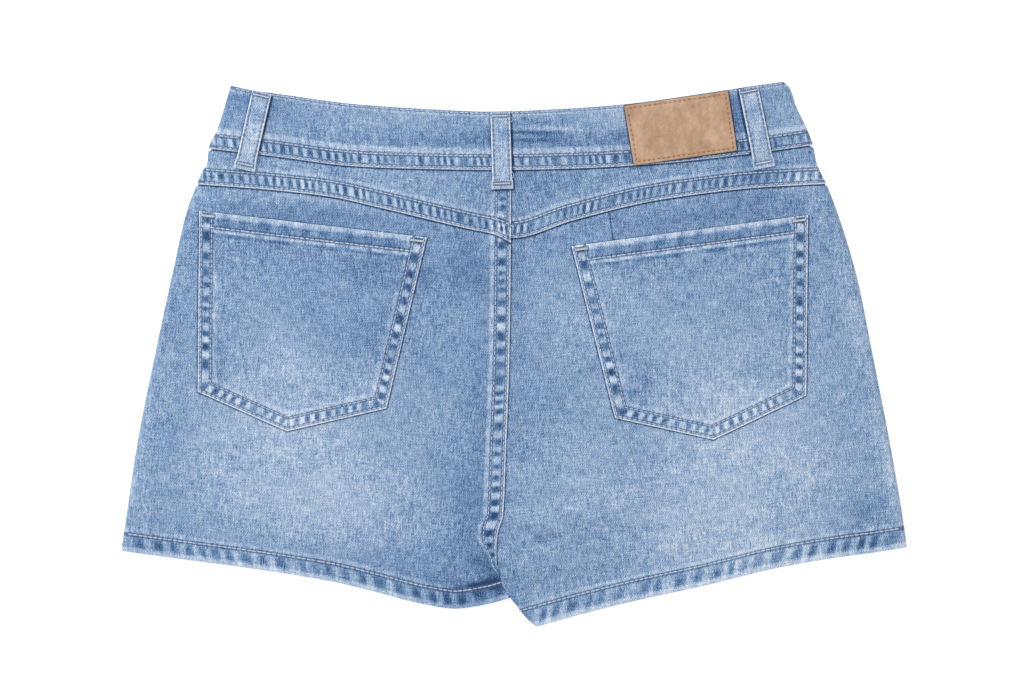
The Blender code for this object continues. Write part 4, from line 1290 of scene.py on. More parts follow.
def beside_pocket(corners):
    """How far a place lies from a pocket's dark line, which is faint above its hem."""
    outside, top_seam = outside_of(corners), edge_seams(corners)[0]
    return lambda x, y: outside(x, y) + FAINTER_ABOVE * (top_seam.inward(x, y) < 0.0)


def under_right_leg(x, y, reach=0.6):
    """Whether a place on the left leg is covered by the right one, or lies this near to it."""
    return (y < BACK_LAP_CROSSING[0]) & (x > leg_fold(y) - reach)


def beyond_fold(x, y, reach=0.5):
    """Whether a place on the right is covered by the left pieces' folded edge, or lies this near to it."""
    return (y > BACK_LAP_CROSSING[0]) & (x < centre_fold(y) + reach)


def under_trim(x, y):
    """Whether a place is covered by a belt loop or the patch."""
    covers = [loop_corners(loop) for loop in BELT_LOOPS] + [PATCH_CORNERS]
    return np.minimum.reduce([outside_of(cover)(x, y) for cover in covers]) < COVER_REACH


# ---- where the cloth is worn, and where shade is painted

# Rubbed parts (positive) and darker parts (negative), on every piece that reaches there. The darker parts
# are partly unworn cloth and partly painted shade, such as the fold's shadow above the left hem.
WEAR_AND_SHADE = folds(
    (-150, -34, 60, 36, 0, 0.15), (-130, -90, 84, 32, -8, 0.18), (150, -36, 60, 36, 0, 0.18),
    (60, 40, 60, 26, 8, 0.05), (249, -80, 36, 4.5, -80, 0.18), (144, -98, 72, 36, 12, 0.19),
    (40, -86, 30, 40, 0, 0.08), (112, -126, 40, 18, 10, 0.05), (156, -124, 40, 4, 12, 0.13),
    (166, -134, 34, 6, 11, 0.08), (-96, 10, 40, 16, -10, -0.08), (-204, 76, 16, 20, 10, -0.1),
    (-28, 62, 14, 26, 10, -0.11), (-26, -108, 46, 16, 80, -0.12), (-50, -98, 34, 24, -20, -0.07),
    (-52, -138, 60, 15, -10, -0.07), (-25, -151.6, 17, 1, 9.4, -0.5), (-32, -165.4, 36, 3.6, 3, -0.2),
    (-58, -147, 20, 4, -12, -0.08), (-88, 56, 62, 15, -6, -0.11), (-23, -16, 62, 12, 88, -0.08),
    (-228, -52, 30, 14, 78, -0.07), (-156, -74, 24, 14, 0, -0.05), (6, -36, 14, 12, 0, -0.06),
    (232, -127, 20, 8, 5, -0.1), (160, 104, 36, 6, 5, -0.09), (190, 118, 16, 6, 4, 0.14),
    (-205, 99, 9, 8, 0, 0.14), (-125, 111, 44, 5, -6, 0.06), (-108, 92, 36, 4, -8, -0.08),
    (-9, 82, 5, 7, 0, 0.2), (20, 88, 14, 7, 15, 0.13), (130, 6, 50, 24, 0, 0.05),
    (-114, -120, 10, 14, 0, 0.08), (18, -161, 9, 8, 0, 0.12), (156, -131, 34, 4, 12, 0.08),
    (-248, -76, 50, 5, 80, 0.08), (-42, -159, 40, 6, 4, -0.14), (2, 40, 60, 8, 88, -0.06),
    (40, -118, 50, 10, 4, -0.06), (40, 84, 60, 14, 14, -0.04), (24, 112, 34, 14, 8, -0.08),
    (162, 122, 34, 6, 6, -0.15), (-140, 91, 74, 7, -6.5, -0.09), (130, 91, 66, 8, 7.3, -0.12),
    (-131, 103, 26, 1.4, -6, 0.16), (192, 112, 12, 10, 0, 0.09), (-174, -132, 14, 4, -8, 0.1),
    (-85, -17, 14, 14, 0, 0.08), (-157, 7, 16, 20, 30, 0.08), (-88, 17, 10, 12, 0, -0.08),
    (-197, -13, 8, 16, 0, -0.09), (-155, -30, 9, 9, 0, -0.09), (-141, -50, 13, 8, -20, 0.08),
    (-45, -66, 16, 10, 0, -0.06), (-12, -70, 20, 4, 88, 0.12), (37, 8, 14, 11, 0, 0.07),
    (83, -24, 12, 16, 0, -0.08), (176, -13, 15, 8, -8, -0.09), (226, 22, 34, 9, -77, 0.12),
    (233, -106, 13, 14, 0, -0.11), (-245, -127, 20, 6, -6, -0.11), (-34, -139, 12, 5, -10, 0.1),
    (52, -155, 20, 4, 14, 0.09), (57, -129, 12, 16, 0, -0.07), (103, 59, 56, 10, 6, -0.05),
)
# Where the left leg goes under the right one it is unworn, and painted shade darkens it.
CROTCH_SHADE_AND_WEAR = folds(
    (-16, -139, 9, 12, 0, -0.2), (-12, -146, 9, 6, 10, -0.1), (-13, -149.4, 12, 1.9, 13, -0.45),
    (-14, -153, 12, 3, 9.4, -0.24),
)
# Wear on the waistband, with painted shade, such as the patch's shadow to its right.
WAIST_WEAR_AND_SHADE = folds(
    (-172, 167, 20, 7, -8, -0.08), (-176, 129, 20, 6, -6, -0.14), (-191, 142, 8, 7, 0, 0.12),
    (-189, 166, 7, 8, 0, -0.1), (27, 129, 11, 5, 0, 0.08), (-62, 130, 36, 5, -1, 0.06),
    (-27, 143, 17, 9, 0, -0.13), (-70, 142, 40, 5, -2, -0.07), (-70, 157, 44, 5, -2, 0.06),
    (70, 158, 9, 9, 0, 0.08), (10, 146.8, 19, 0.9, -1, -0.34), (10, 141.4, 17, 1.2, 0, -0.2),
    (18, 143.5, 26, 5, 1, -0.12), (24, 149.6, 20, 1.5, -1, 0.2), (15, 153.5, 18, 3, 0, -0.08),
    (70, 140, 60, 8, 4, -0.1), (60, 156, 22, 8, 4, 0.06), (148, 153, 5, 20, 8, -0.24),
    (158, 129, 38, 6, 5, -0.24), (187, 156, 8, 16, 12, 0.07),
)
# Small creases, as hollows between soft lips.
CREASES = folds(
    (32, -121.5, 30, 1.7, 3, -0.32), (28, -126, 34, 2.2, 4, 0.16), (50, -145, 30, 2, 13, -0.25),
    (-22, -150.8, 18, 1.9, 9.4, -0.7), (-60, -136, 24, 2.6, -14, -0.2), (-90, -118, 30, 3, -8, -0.15),
)
WAIST_CREASES = folds(
    (15, 147.2, 17, 1.5, -1, -0.3), (34, 141, 20, 2.2, 3, -0.18), (-60, 150, 26, 2, -4, -0.14),
)

# ---- cloth pieces

Fabric = namedtuple("Fabric", "name warp_turn pale twill")
LEFT_LEG = Fabric("stonewashed_twill_left_leg", -3.0, 0.0, 0.8)
RIGHT_LEG = Fabric("stonewashed_twill_right_leg", 4.0, 0.0, 0.8)
LEFT_YOKE = Fabric("stonewashed_twill_left_yoke", -9.0, 0.0, 0.8)
RIGHT_YOKE = Fabric("stonewashed_twill_right_yoke", 10.0, 0.0, 0.8)
WAISTBAND = Fabric("stonewashed_twill_waistband", 3.0, 0.0, 0.6)
POCKETS = Fabric("stonewashed_twill_pockets", 1.0, 0.0, 0.8)
LOOPS = Fabric("stonewashed_twill_loops", 0.0, 0.18, 1.0)
FRONTS = Fabric("stonewashed_twill_fronts", 0.0, 0.0, 0.8)


def made_once(name, make, *details):
    """The material of that name, made the first time that it is asked for."""
    return bpy.data.materials.get(name) or make(name, *details)


def denim(fabric):
    return made_once(fabric.name, washed_denim, fabric, bpy.context.scene.skort_cloth)


def seam_thread():
    return made_once("corespun_seam_thread", sewing_thread, bpy.context.scene.skort_sewing.thread_colour[:])


def declare_cut(grid):
    """Works out a piece's plan and the length of its longest column, and gives back nothing."""
    plan = grid.upper[..., :2] * MM
    length = max(measured(column)[1][-1] for column in plan.transpose(1, 0, 2))


def lay_cloth(piece, side=1.0):
    """Makes a piece of cloth and hides the solid that it stands for."""
    cloth = build_shell(piece.node + "_cloth", piece.grid, piece.look, denim(piece.fabric), side)
    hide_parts(piece.node)
    declare_cut(piece.grid)


def cut(node, edges, columns, rows, top, under, look, fabric, **rolls):
    """A piece from its edges, its stations and the heights of its two sides."""
    return Piece(node, plan_grid(edges, columns, rows, top, under, **rolls), top, look, fabric)


def both_ends(stations, between):
    return Stations(stations, stations, between)


def side_roll(thickness=CLOTH):
    return Roll(SIDE_ROLL + thickness - CLOTH, lambda x, y: FOLD_FOOT, thickness)


SIDE_COLUMNS = [SIDE_ROLL, 5.6, 7.2, 9.0, 11.0]
WAIST_SIDE_COLUMNS = [SIDE_ROLL + WAISTBAND_THICKNESS - CLOTH, 7.0, 9.0]
BESIDE_FOLD = [INNER_ROLL, 3.8, *np.arange(4.6, 14.0, 0.7)]
FROM_LAP = [0.0, 4.0, 7.6, *np.arange(8.0, 14.0, 0.5)]
# Rows of a panel's head, close together where it comes out from under the seam's lap.
UNDER_LAP_ROWS = [0.0, 3.5, 7.2, 7.7, 8.2, 8.7, 9.2, 9.8, 10.5, 11.5]
YOKE_ROW_STATIONS = Stations(UNDER_LAP_ROWS, fine(13.5, 0.4), 16)

LEFT_HEM_ROPING = Roping(11.0, 0.25, 0.32, 0.21, 101)
RIGHT_HEM_ROPING = Roping(11.5, -0.25, 0.32, 0.21, 111)
CENTRE_ROPING = Roping(8.6, 0.1, 0.34, 0.46, 121)
YOKE_CENTRE_ROPING = Roping(6.2, 0.1, 0.3, 0.28, 126)
LEFT_YOKE_ROPING = Roping(5.5, 0.15, 0.32, 0.38, 131)
RIGHT_YOKE_ROPING = Roping(5.5, -0.15, 0.32, 0.38, 141)
WAIST_ROPING = Roping(5.6, 0.15, 0.28, 0.36, 151)
POCKET_SIDE_ROPING = Roping(9.5, 0.1, 0.34, 0.44, 161)
POCKET_FOOT_ROPING = Roping(7.2, 0.2, 0.3, 0.38, 171)

CENTRE_SEAM_ENDS = (-143.0, -130.0)  # heights between which it goes under the right leg
ROWS_DRAW_IN = (-140.0, -116.0)
DRAWN_TOGETHER = 0.7  # share of the way to the fold by which its rows have drawn in
DART_LINE_AT = (1.1, 0.5)  # how far the dart's dark line lies beside its middle, and how thin it is


def above_crossing(x, y):
    """1 where the centre seam shows, and 0 where the legs cross."""
    return smooth(*CENTRE_SEAM_ENDS, y)


def drawn_in(y):
    """How far the centre seam's rows still stand apart where they draw in and go under the right leg."""
    return 1.0 - DRAWN_TOGETHER * (1.0 - smooth(*ROWS_DRAW_IN, y))


def centre_seam():
    seam = fold_seam()
    return Seam(lambda x, y: seam.inward(x, y) / drawn_in(y), seam.along)


def back_left_piece():
    look = Look(WEAR_AND_SHADE + CROTCH_SHADE_AND_WEAR, CREASES)
    sew_edge(
        look, flat_seam(left_hem), (LEFT_HEM_ROW,), LEFT_HEM_ROPING, edge_wear=0.26, edge_width=4.2,
        unworn=0.06, reach=THICK_REACH,
    )
    sew_edge(
        look, centre_seam(), CENTRE_ROWS, CENTRE_ROPING, edge_wear=0.43, ridge=0.24, window=above_crossing,
    )
    add_ditch(look, south_of(left_yoke_seam))
    add_ditch(look, beside_pocket(POCKETS_AT["left"]), weaker=0.3)
    add_ditch(look, lambda x, y: leg_fold(y) - x, lambda x, y: y < BACK_LAP_CROSSING[0], weaker=0.8)
    return cut(
        "back_left", sewn_edges(moved(left_yoke_seam, SEAM_LAP), left_hem, left_back_side, centre_fold),
        Stations(SIDE_COLUMNS, fine(12.5, 0.45), 200), Stations(UNDER_LAP_ROWS, fine(16.0, 0.5), 150),
        left_back_top, left_back_under, look, LEFT_LEG, west_roll=side_roll(),
    )


def dart_line(x, y):
    """Distance from the pressed dart's edge, below the right yoke."""
    along, across = along_across(x, y, DART)
    past_end = np.maximum(np.abs(along) - DART.length, 0.0)
    return np.hypot(across + DART_LINE_AT[0], past_end) + DART_LINE_AT[1]


def back_right_piece():
    look = Look(WEAR_AND_SHADE, CREASES)
    sew_edge(
        look, flat_seam(right_hem), (RIGHT_HEM_ROW,), RIGHT_HEM_ROPING, edge_wear=0.28, edge_width=4.6,
        reach=THICK_REACH,
    )
    add_ditch(look, south_of(right_yoke_seam))
    add_ditch(look, beside_pocket(POCKETS_AT["right"]), weaker=0.3)
    add_ditch(look, past_centre, lambda x, y: y > BACK_LAP_CROSSING[0], weaker=0.45)
    add_ditch(look, dart_line)

    def inner_foot(x, y):
        return FOLD_FOOT + (right_back_under(x, y) - FOLD_FOOT) * smooth(*LEG_END, y)

    return cut(
        "back_right", sewn_edges(
            moved(right_yoke_seam, SEAM_LAP), right_hem, right_back_edge, right_back_side, leg_fold,
        ),
        Stations(BESIDE_FOLD, SIDE_COLUMNS, 205), Stations(UNDER_LAP_ROWS, fine(17.5, 0.5), 160),
        right_back_top, right_back_under, look, RIGHT_LEG,
        west_roll=Roll(INNER_ROLL, inner_foot, CLOTH), east_roll=side_roll(),
    )


class SKORT_OT_backs(bpy.types.Operator):
    """Make the two back panels with their turned hems and the centre seam"""

    bl_idname = "skort.backs"
    bl_label = "Back Panels"

    def execute(self, context):
        left, right = back_left_piece(), back_right_piece()
        lay_cloth(left)
        lay_cloth(right)
        left_rows = [
            beside_side(centre_fold, 72.0, -142.5, lambda y, row=row: -row * drawn_in(y))
            for row in CENTRE_ROWS
        ]
        left_rows.append(beside_seam(left_hem, -256.0, 0.0, LEFT_HEM_ROW))
        sew(left, left_rows, 201, under_right_leg, thickness=(1.0, 1.0, THICK))
        sew(right, [beside_seam(right_hem, 6.5, 256.5, RIGHT_HEM_ROW)], 211, thickness=THICK)
        return {"FINISHED"}


def yoke_look(seam, ropes, ridge):
    """What both halves of the yoke have."""
    look = Look(WEAR_AND_SHADE)
    sew_edge(look, flat_seam(seam), YOKE_ROWS, ropes, edge_wear=0.43, ridge=ridge, reach=THICK_REACH)
    add_ditch(look, south_of(waist_seam))
    add_ditch(look, beside_loop(BELT_LOOPS[1]))
    return look


def yoke_left_piece():
    look = yoke_look(left_yoke_seam, LEFT_YOKE_ROPING, 0.2)
    sew_edge(look, fold_seam(), CENTRE_ROWS, YOKE_CENTRE_ROPING, edge_wear=0.36)
    return cut(
        "yoke_left", sewn_edges(moved(waist_seam, SEAM_LAP), left_yoke_seam, left_yoke_side, centre_fold),
        Stations(SIDE_COLUMNS, fine(12.5, 0.4), 230), YOKE_ROW_STATIONS,
        left_yoke_top, left_yoke_under, look, LEFT_YOKE, west_roll=side_roll(),
    )


def yoke_right_piece():
    look = yoke_look(right_yoke_seam, RIGHT_YOKE_ROPING, 0.22)
    add_ditch(look, past_centre, weaker=0.45)
    return cut(
        "yoke_right",
        sewn_edges(moved(waist_seam, SEAM_LAP), right_yoke_seam, right_yoke_edge, right_yoke_side),
        Stations(FROM_LAP, SIDE_COLUMNS, 230), YOKE_ROW_STATIONS,
        right_yoke_top, right_yoke_under, look, RIGHT_YOKE, east_roll=side_roll(),
    )


class SKORT_OT_yokes(bpy.types.Operator):
    """Make the two halves of the yoke, felled over the back panels"""

    bl_idname = "skort.yokes"
    bl_label = "Yoke"

    def execute(self, context):
        left, right = yoke_left_piece(), yoke_right_piece()
        lay_cloth(left)
        lay_cloth(right)
        left_rows = [beside_seam(left_yoke_seam, -204.0, -3.5, row) for row in YOKE_ROWS]
        left_rows += [beside_side(centre_fold, 121.0, 78.0, -row) for row in CENTRE_ROWS]
        sew(left, left_rows, 221, under_trim, thickness=(1.0, THICK, 1.0, 1.0))
        right_rows = [beside_seam(right_yoke_seam, -6.0, 202.0, row) for row in YOKE_ROWS]
        sew(right, right_rows, 231, beyond_fold, thickness=(1.0, THICK))
        return {"FINISHED"}


class SKORT_OT_waistband(bpy.types.Operator):
    """Make the back stretch of the waistband"""

    bl_idname = "skort.waistband"
    bl_label = "Waistband"

    def execute(self, context):
        look = Look(WAIST_WEAR_AND_SHADE, WAIST_CREASES)
        sew_edge(
            look, flat_seam(waist_seam), WAIST_ROWS, WAIST_ROPING, edge_wear=0.41, ridge=0.26,
            ridge_at=(1.0, 4.4), reach=THICK_REACH,
        )
        sew_edge(
            look, flat_seam(waist_top, -1.0), (WAIST_TOP_ROW,), WAIST_ROPING, edge_wear=0.17, edge_width=4.6,
            ridge=0.0,
        )
        for loop in BELT_LOOPS:
            add_ditch(look, beside_loop(loop))
        add_ditch(look, outside_of(PATCH_CORNERS), weaker=0.3)
        roll = side_roll(WAISTBAND_THICKNESS)
        piece = cut(
            "waistband_back", sewn_edges(waist_top, waist_seam, left_side, right_side),
            both_ends(WAIST_SIDE_COLUMNS, 440), Stations(fine(4.0, 0.4), fine(12.5, 0.4), 30),
            waistband_top, waistband_under, look, WAISTBAND, west_roll=roll, east_roll=roll,
        )
        lay_cloth(piece)
        rows = [beside_seam(waist_seam, -195.0, 192.0, row) for row in WAIST_ROWS]
        rows.append(beside_seam(waist_top, -183.0, 177.0, -WAIST_TOP_ROW))
        sew(piece, rows, 241, under_trim, thickness=(1.0, THICK, THICK))
        return {"FINISHED"}


POCKET_TACK_IN = 6.4
POCKET_TACK_DOWN = 2.9
HEM_CUT_EDGE = (POCKET_HEM_ROW + 4.2, POCKET_HEM_ROW + 5.2)
HEM_ROPING = POCKET_FOOT_ROPING._replace(pitch=13.0, contrast=0.07)
HEM_SHADE = 0.24
CORNER_WEAR = 0.4
TOP_INSET = 0.8  # from a pocket's upper edge to the ends of its rows
SIDE_INSET = 1.0  # and from its sides to the ends of its hem's row


def pocket_tack_places(corners):
    """The bar tacks at a pocket's upper corners."""
    sewing = bpy.context.scene.skort_sewing
    left, right = np.array(corners.top_left), np.array(corners.top_right)
    way = (right - left) / math.dist(left, right)
    inward, down = way * POCKET_TACK_IN, np.array([way[1], -way[0]]) * POCKET_TACK_DOWN
    size = (sewing.tack_length / MM, sewing.tack_width / MM)
    return [tack_at(left + inward + down, way, *size), tack_at(right - inward + down, way, *size)]


def pocket_piece(node, corners, tacks):
    seams = edge_seams(corners)
    top_seam, *side_seams = seams
    left_and_right = (side_seams[0], side_seams[-1])

    def under(x, y):
        return back_under(x, y) + LAYER

    def top(x, y):
        hem_end = POCKET_HEM_HEIGHT - 0.5
        hem = 1.0 - smooth(hem_end, hem_end + HEM_STEP, top_seam.inward(x, y))
        return under(x, y) + CLOTH + POCKET_HEM_RISE * hem - rounded(least_inward(seams, x, y))

    def nearest_edge(seam):
        """A window on the part of a pocket that lies nearest this edge, which mitres the corners."""
        return lambda x, y: seam.inward(x, y) <= least_inward(side_seams, x, y) + EDGE_SLACK

    def between_rows(x, y):
        return least_inward(left_and_right, x, y) > POCKET_ROWS[1]

    look = Look(WEAR_AND_SHADE)
    for turn, seam in enumerate(side_seams):
        ropes = POCKET_SIDE_ROPING if seam in left_and_right else POCKET_FOOT_ROPING
        ropes = ropes._replace(seed=ropes.seed + 7 * turn)
        sew_edge(look, seam, POCKET_ROWS, ropes, edge_wear=0.4, ridge=0.13, window=nearest_edge(seam))
    sew_edge(
        look, top_seam, (POCKET_HEM_ROW,), HEM_ROPING, edge_width=4.8, ridge=0.26, ridge_at=(1.1, 2.5),
        unworn=0.12, reach=THICK_REACH, window=between_rows,
    )
    look.washes += [
        # The cloth under the hem's cut edge is darker, in blotches: partly unworn, partly painted shade.
        lambda x, y: -HEM_SHADE * band(*HEM_CUT_EDGE, 1.0, top_seam.inward(x, y))
        * (0.6 + 0.5 * noise(x / 6.0 + 80.0, 191)) * between_rows(x, y),
        lambda x, y: CORNER_WEAR * (1.0 - smooth(0.8, 1.8, top_seam.inward(x, y))) * ~between_rows(x, y),
    ]
    look.rows += [outside_tack(tack) for tack in tacks]
    to_point = straight(corners.foot_left, corners.point)
    from_point = straight(corners.point, corners.foot_right)

    def foot(t):
        t = np.asarray(t, float)
        return np.where(t[..., None] <= 0.5, to_point(2.0 * t), from_point(2.0 * t - 1.0))

    edges = straight_edges(corners.top_left, corners.top_right, corners.foot_right, corners.foot_left)
    return cut(
        node, edges._replace(south=foot), both_ends(fine(11.5, 0.45), 101),
        Stations(fine(14.0, 0.45), fine(12.0, 0.45), 76), top, under, look, POCKETS,
    )


class SKORT_OT_pockets(bpy.types.Operator):
    """Make the two patch pockets"""

    bl_idname = "skort.pockets"
    bl_label = "Patch Pockets"

    def execute(self, context):
        tacked = []
        for side, seed in (("left", 251), ("right", 261)):
            corners = POCKETS_AT[side]
            tacks = pocket_tack_places(corners)
            piece = pocket_piece("pocket_" + side, corners, tacks)
            lay_cloth(piece)
            paths = []
            for row in POCKET_ROWS:
                start = inset_corners(corners, [TOP_INSET] + [row] * 4)
                paths.append(start[1:] + start[:1])
            paths.append(inset_corners(corners, [POCKET_HEM_ROW] + [SIDE_INSET] * 4)[:2])
            sew(piece, paths, seed, thickness=(1.0, 1.0, THICK))
            tacked.append((piece, tacks))
        for piece, tacks in tacked:
            bar_tacks(piece, tacks, 291)
        return {"FINISHED"}


LOOP_FLARE = 0.8
LOOP_FLARE_AT = (0.84, 0.93)  # shares of its length
LOOP_STATIONS = fine(2.6, 0.4)
LOOP_ROW_INSETS = [4.4, LOOP_ROW, 5.4, LOOP_ROW]
LOOP_TACKS_IN = (2.6, 3.6)  # from a loop's top and from its foot
LOOP_TACK_NARROWER = 2.6
LOOP_TACK_WIDTH = 0.7  # as a share of the pockets'
# Loose ends of thread at the belt loops: places with their height above the cloth.
LOOSE_ENDS = {
    "belt_loop_left": [
        [(-161.6, 168.6, 0.1), (-160.4, 167.2, 0.7), (-161.2, 165.6, 0.9), (-162.8, 164.6, 0.3)],
    ],
    "belt_loop_centre": [
        [(-2.6, 157.0, 0.1), (-1.0, 156.4, 0.8), (-0.6, 154.6, 0.9), (-1.6, 153.4, 0.6), (-2.6, 154.0, 0.1)],
        [(-1.4, 120.8, 0.1), (0.2, 119.4, 0.6), (-0.2, 117.2, 0.7), (-1.4, 116.4, 0.1)],
    ],
    "belt_loop_right": [[(158.4, 124.4, 0.1), (157.4, 122.8, 0.6), (158.2, 121.2, 0.3)]],
}


def loop_support(x, y):
    """Height of what a belt loop lies on: the waistband, then the yoke under its edge."""
    on_left = np.where(x < centre_fold(y), left_yoke_under(x, y), 0.0)
    on_yoke = np.maximum(on_left, right_yoke_under(x, y)) + CLOTH
    on_waistband = 1.0 - smooth(*LOOP_FOOT_DROP, waist_seam(x) - y)
    return on_yoke + (waistband_face(x, y) - on_yoke) * on_waistband


def loop_tack_places(loop):
    """The bar tacks across a belt loop's two ends."""
    _, down, east = loop_ways(loop)
    width = LOOP_TACK_WIDTH * bpy.context.scene.skort_sewing.tack_width / MM
    places = (np.array(loop.top) + down * LOOP_TACKS_IN[0], np.array(loop.bottom) - down * LOOP_TACKS_IN[1])
    return [tack_at(place, east, BELT_LOOP_WIDTH - LOOP_TACK_NARROWER, width) for place in places]


def loop_piece(loop, tacks, seed):
    length, down, east = loop_ways(loop)
    start = np.array(loop.top)

    def share_of(x, y):
        return ((x - start[0]) * down[0] + (y - start[1]) * down[1]) / length

    def under(x, y):
        t = np.clip(share_of(x, y), 0.0, 1.0)
        middle_x, middle_y = start[0] + down[0] * t * length, start[1] + down[1] * t * length
        across = [
            loop_support(middle_x + east[0] * offset, middle_y + east[1] * offset)
            for offset in np.linspace(-BELT_LOOP_WIDTH / 2.0, BELT_LOOP_WIDTH / 2.0, 5)
        ]
        return np.maximum.reduce(across) + GAP + BELT_LOOP_ARCH * np.sin(math.pi * t) ** 2

    corners = loop_corners(loop)
    seams = edge_seams(corners)

    def top(x, y):
        widened = LOOP_FLARE * smooth(*LOOP_FLARE_AT, share_of(x, y))
        return under(x, y) + BELT_LOOP_THICKNESS - rounded(least_inward(seams, x, y) + widened)

    def above_flare(x, y):
        return 1.0 - 0.8 * smooth(*LOOP_FLARE_AT, share_of(x, y))

    def spot(share, *shape):
        return Fold(*(start + down * length * share), *shape)

    look = Look(creases=[spot(0.36, 7.0, 3.2, -3.0, -0.14), spot(0.62, 7.0, 4.0, 4.0, 0.08)])
    for seam in (seams[1], seams[3]):
        sew_edge(
            look, seam, (LOOP_ROW,), Roping(5.0, 0.0, 0.1, 0.05, seed), edge_wear=0.32, edge_width=1.3,
            window=above_flare, ridge=0.0, groove=0.1, reach=LOOP_REACH,
        )
    dark_spot = Fold(*(start + down * length * 0.3 + east), 6.0, 5.0, 0.0, -0.16)
    look.washes.append(lambda x, y: fold_height(dark_spot, x, y))
    look.rows += [outside_tack(tack) for tack in tacks]

    def flared(start, end, outward):
        """A side of the loop, which widens at its foot, where its end is turned under."""
        side = straight(start, end)
        return lambda t: side(t) + outward * LOOP_FLARE * smooth(*LOOP_FLARE_AT, t)[..., None] * east

    spread = LOOP_FLARE * east
    edges = Edges(
        straight(corners[0], corners[1]), straight(corners[3] - spread, corners[2] + spread),
        flared(corners[0], corners[3], -1.0), flared(corners[1], corners[2], 1.0),
    )
    return cut(
        loop.name, edges, both_ends(LOOP_STATIONS, 14), both_ends(LOOP_STATIONS, 90), top, under, look, LOOPS,
    )


class SKORT_OT_belt_loops(bpy.types.Operator):
    """Make the three belt loops"""

    bl_idname = "skort.belt_loops"
    bl_label = "Belt Loops"

    def execute(self, context):
        row_colour = context.scene.skort_sewing.loop_thread_colour[:]
        row_thread = made_once("corespun_loop_thread", sewing_thread, row_colour)
        for turn, loop in enumerate(BELT_LOOPS):
            tacks = loop_tack_places(loop)
            piece = loop_piece(loop, tacks, 181 + turn)
            lay_cloth(piece)
            ends = inset_corners(loop_corners(loop), LOOP_ROW_INSETS)
            paths = [[ends[1], ends[2]], [ends[3], ends[0]]]
            sew(piece, paths, 271 + turn, thread=row_thread, thickness=0.75)
            bar_tacks(piece, tacks, 281 + turn)
            loose_threads(piece, LOOSE_ENDS[loop.name])
        return {"FINISHED"}


PATCH_CUT_RADIUS = 0.35
PATCH_STATIONS = fine(3.6, 0.35)
PATCH_GROOVE = 0.22
PATCH_GROOVE_WIDTH = 0.5
PATCH_UNEVENNESS = 0.05


class SKORT_OT_patch(bpy.types.Operator):
    """Make the bare leather patch on the waistband"""

    bl_idname = "skort.patch"
    bl_label = "Leather Patch"

    def execute(self, context):
        seams = edge_seams(PATCH_CORNERS)

        def under(x, y):
            return waistband_face(x, y) + GAP

        def top(x, y):
            return under(x, y) + PATCH_THICKNESS - rounded(least_inward(seams, x, y), PATCH_CUT_RADIUS)

        def from_row(x, y):
            return least_inward(seams, x, y) - PATCH_ROW

        look = Look()
        look.ditches.append(lambda x, y: least_inward(seams, x, y))
        look.rows.append(lambda x, y: np.abs(from_row(x, y)))
        look.reliefs += [
            lambda x, y: -PATCH_GROOVE * np.exp(-((from_row(x, y) / PATCH_GROOVE_WIDTH) ** 2)),
            lambda x, y: PATCH_UNEVENNESS * noise_2d(x / 3.1 + 60.0, y / 2.4 + 60.0, 301),
        ]
        piece = cut(
            "leather_patch", straight_edges(*PATCH_CORNERS), both_ends(PATCH_STATIONS, 80),
            both_ends(PATCH_STATIONS, 44), top, under, look, None,
        )
        leather = made_once("waxed_split_leather", waxed_leather, context.scene.skort_trim)
        hide = build_shell("leather_patch_hide", piece.grid, look, leather, 1.0)
        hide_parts("leather_patch")
        declare_cut(piece.grid)
        path = inset_corners(PATCH_CORNERS, [PATCH_ROW] * 4)
        thread_colour = context.scene.skort_sewing.patch_thread_colour[:]
        thread = made_once("bonded_patch_thread", sewing_thread, thread_colour)
        sew(piece, [path + path[:1]], 303, thread=thread, shown_length=0.6)
        return {"FINISHED"}


# ---- the hidden front, face down

SKIRT_INSET = 4.2
HIDDEN_SEAM_GAP = 0.8
FRONT_WAIST_EDGE = 3.5
HALF_WAIST = 190.0
END_THINS = 1.6
FRONT_GROOVE = 0.4  # stitch rows lie in deeper grooves, because these faces lie on the surface
FRONT_ROPING = Roping(11.0, 0.3, 0.3, 0.11, 311)
FRONT_WEAR = folds(
    (-120, -30, 70, 60, 84, 0.14), (120, -36, 70, 60, 96, 0.14), (0, 20, 110, 22, 90, -0.05),
)
FRONT_CREASES = folds(
    (-70, 60, 70, 5, -18, -0.3), (64, 48, 60, 4, 22, -0.26), (-20, -60, 90, 6, 8, -0.22),
    (110, -100, 60, 5, -10, -0.25),
)
FRONT_SIDE_STATIONS = fine(3.0, 0.6)
FRONT_TOP_ROWS = [0.0, 0.6]
LAP_END_COLUMNS = [0.0, 0.5, 1.2, *np.arange(2.0, WAIST_OVERLAP + 6.0, 0.8)]
FRONT_WAIST_COLUMNS = [0.0, 0.6, 1.4]
FRONT_WAIST_ROWS = [0.0, 0.3, *np.arange(0.8, 4.0, 0.5)]


def front_waist_top(x):
    return waist_top(x) - FRONT_WAIST_EDGE - FRONT_WAIST_DROP * (1.0 - (x / HALF_WAIST) ** 2)


def front_waist_seam(x):
    return front_waist_top(x) - WAISTBAND_HEIGHT


def under_front_waist(x):
    return front_waist_seam(x) - HIDDEN_SEAM_GAP


def mirrored(height):
    """A height seen from below, as a face-down piece's grid is planned."""
    if callable(height):
        return lambda x, y: -height(x, y)
    return lambda x, y: -height + 0.0 * x


def front_right_inner(y):
    past_leg = np.maximum(FRONT_MIDDLE + GAP, leg_fold(y) + FRONT_INSET)
    return np.where(np.asarray(y) < 0.0, past_leg, FRONT_MIDDLE + GAP)


front_waist_curve = Curve([(x, float(front_waist_seam(x))) for x in range(-210, 211, 10)])
front_top_curve = Curve([(x, float(front_waist_top(x))) for x in range(-200, 201, 10)])


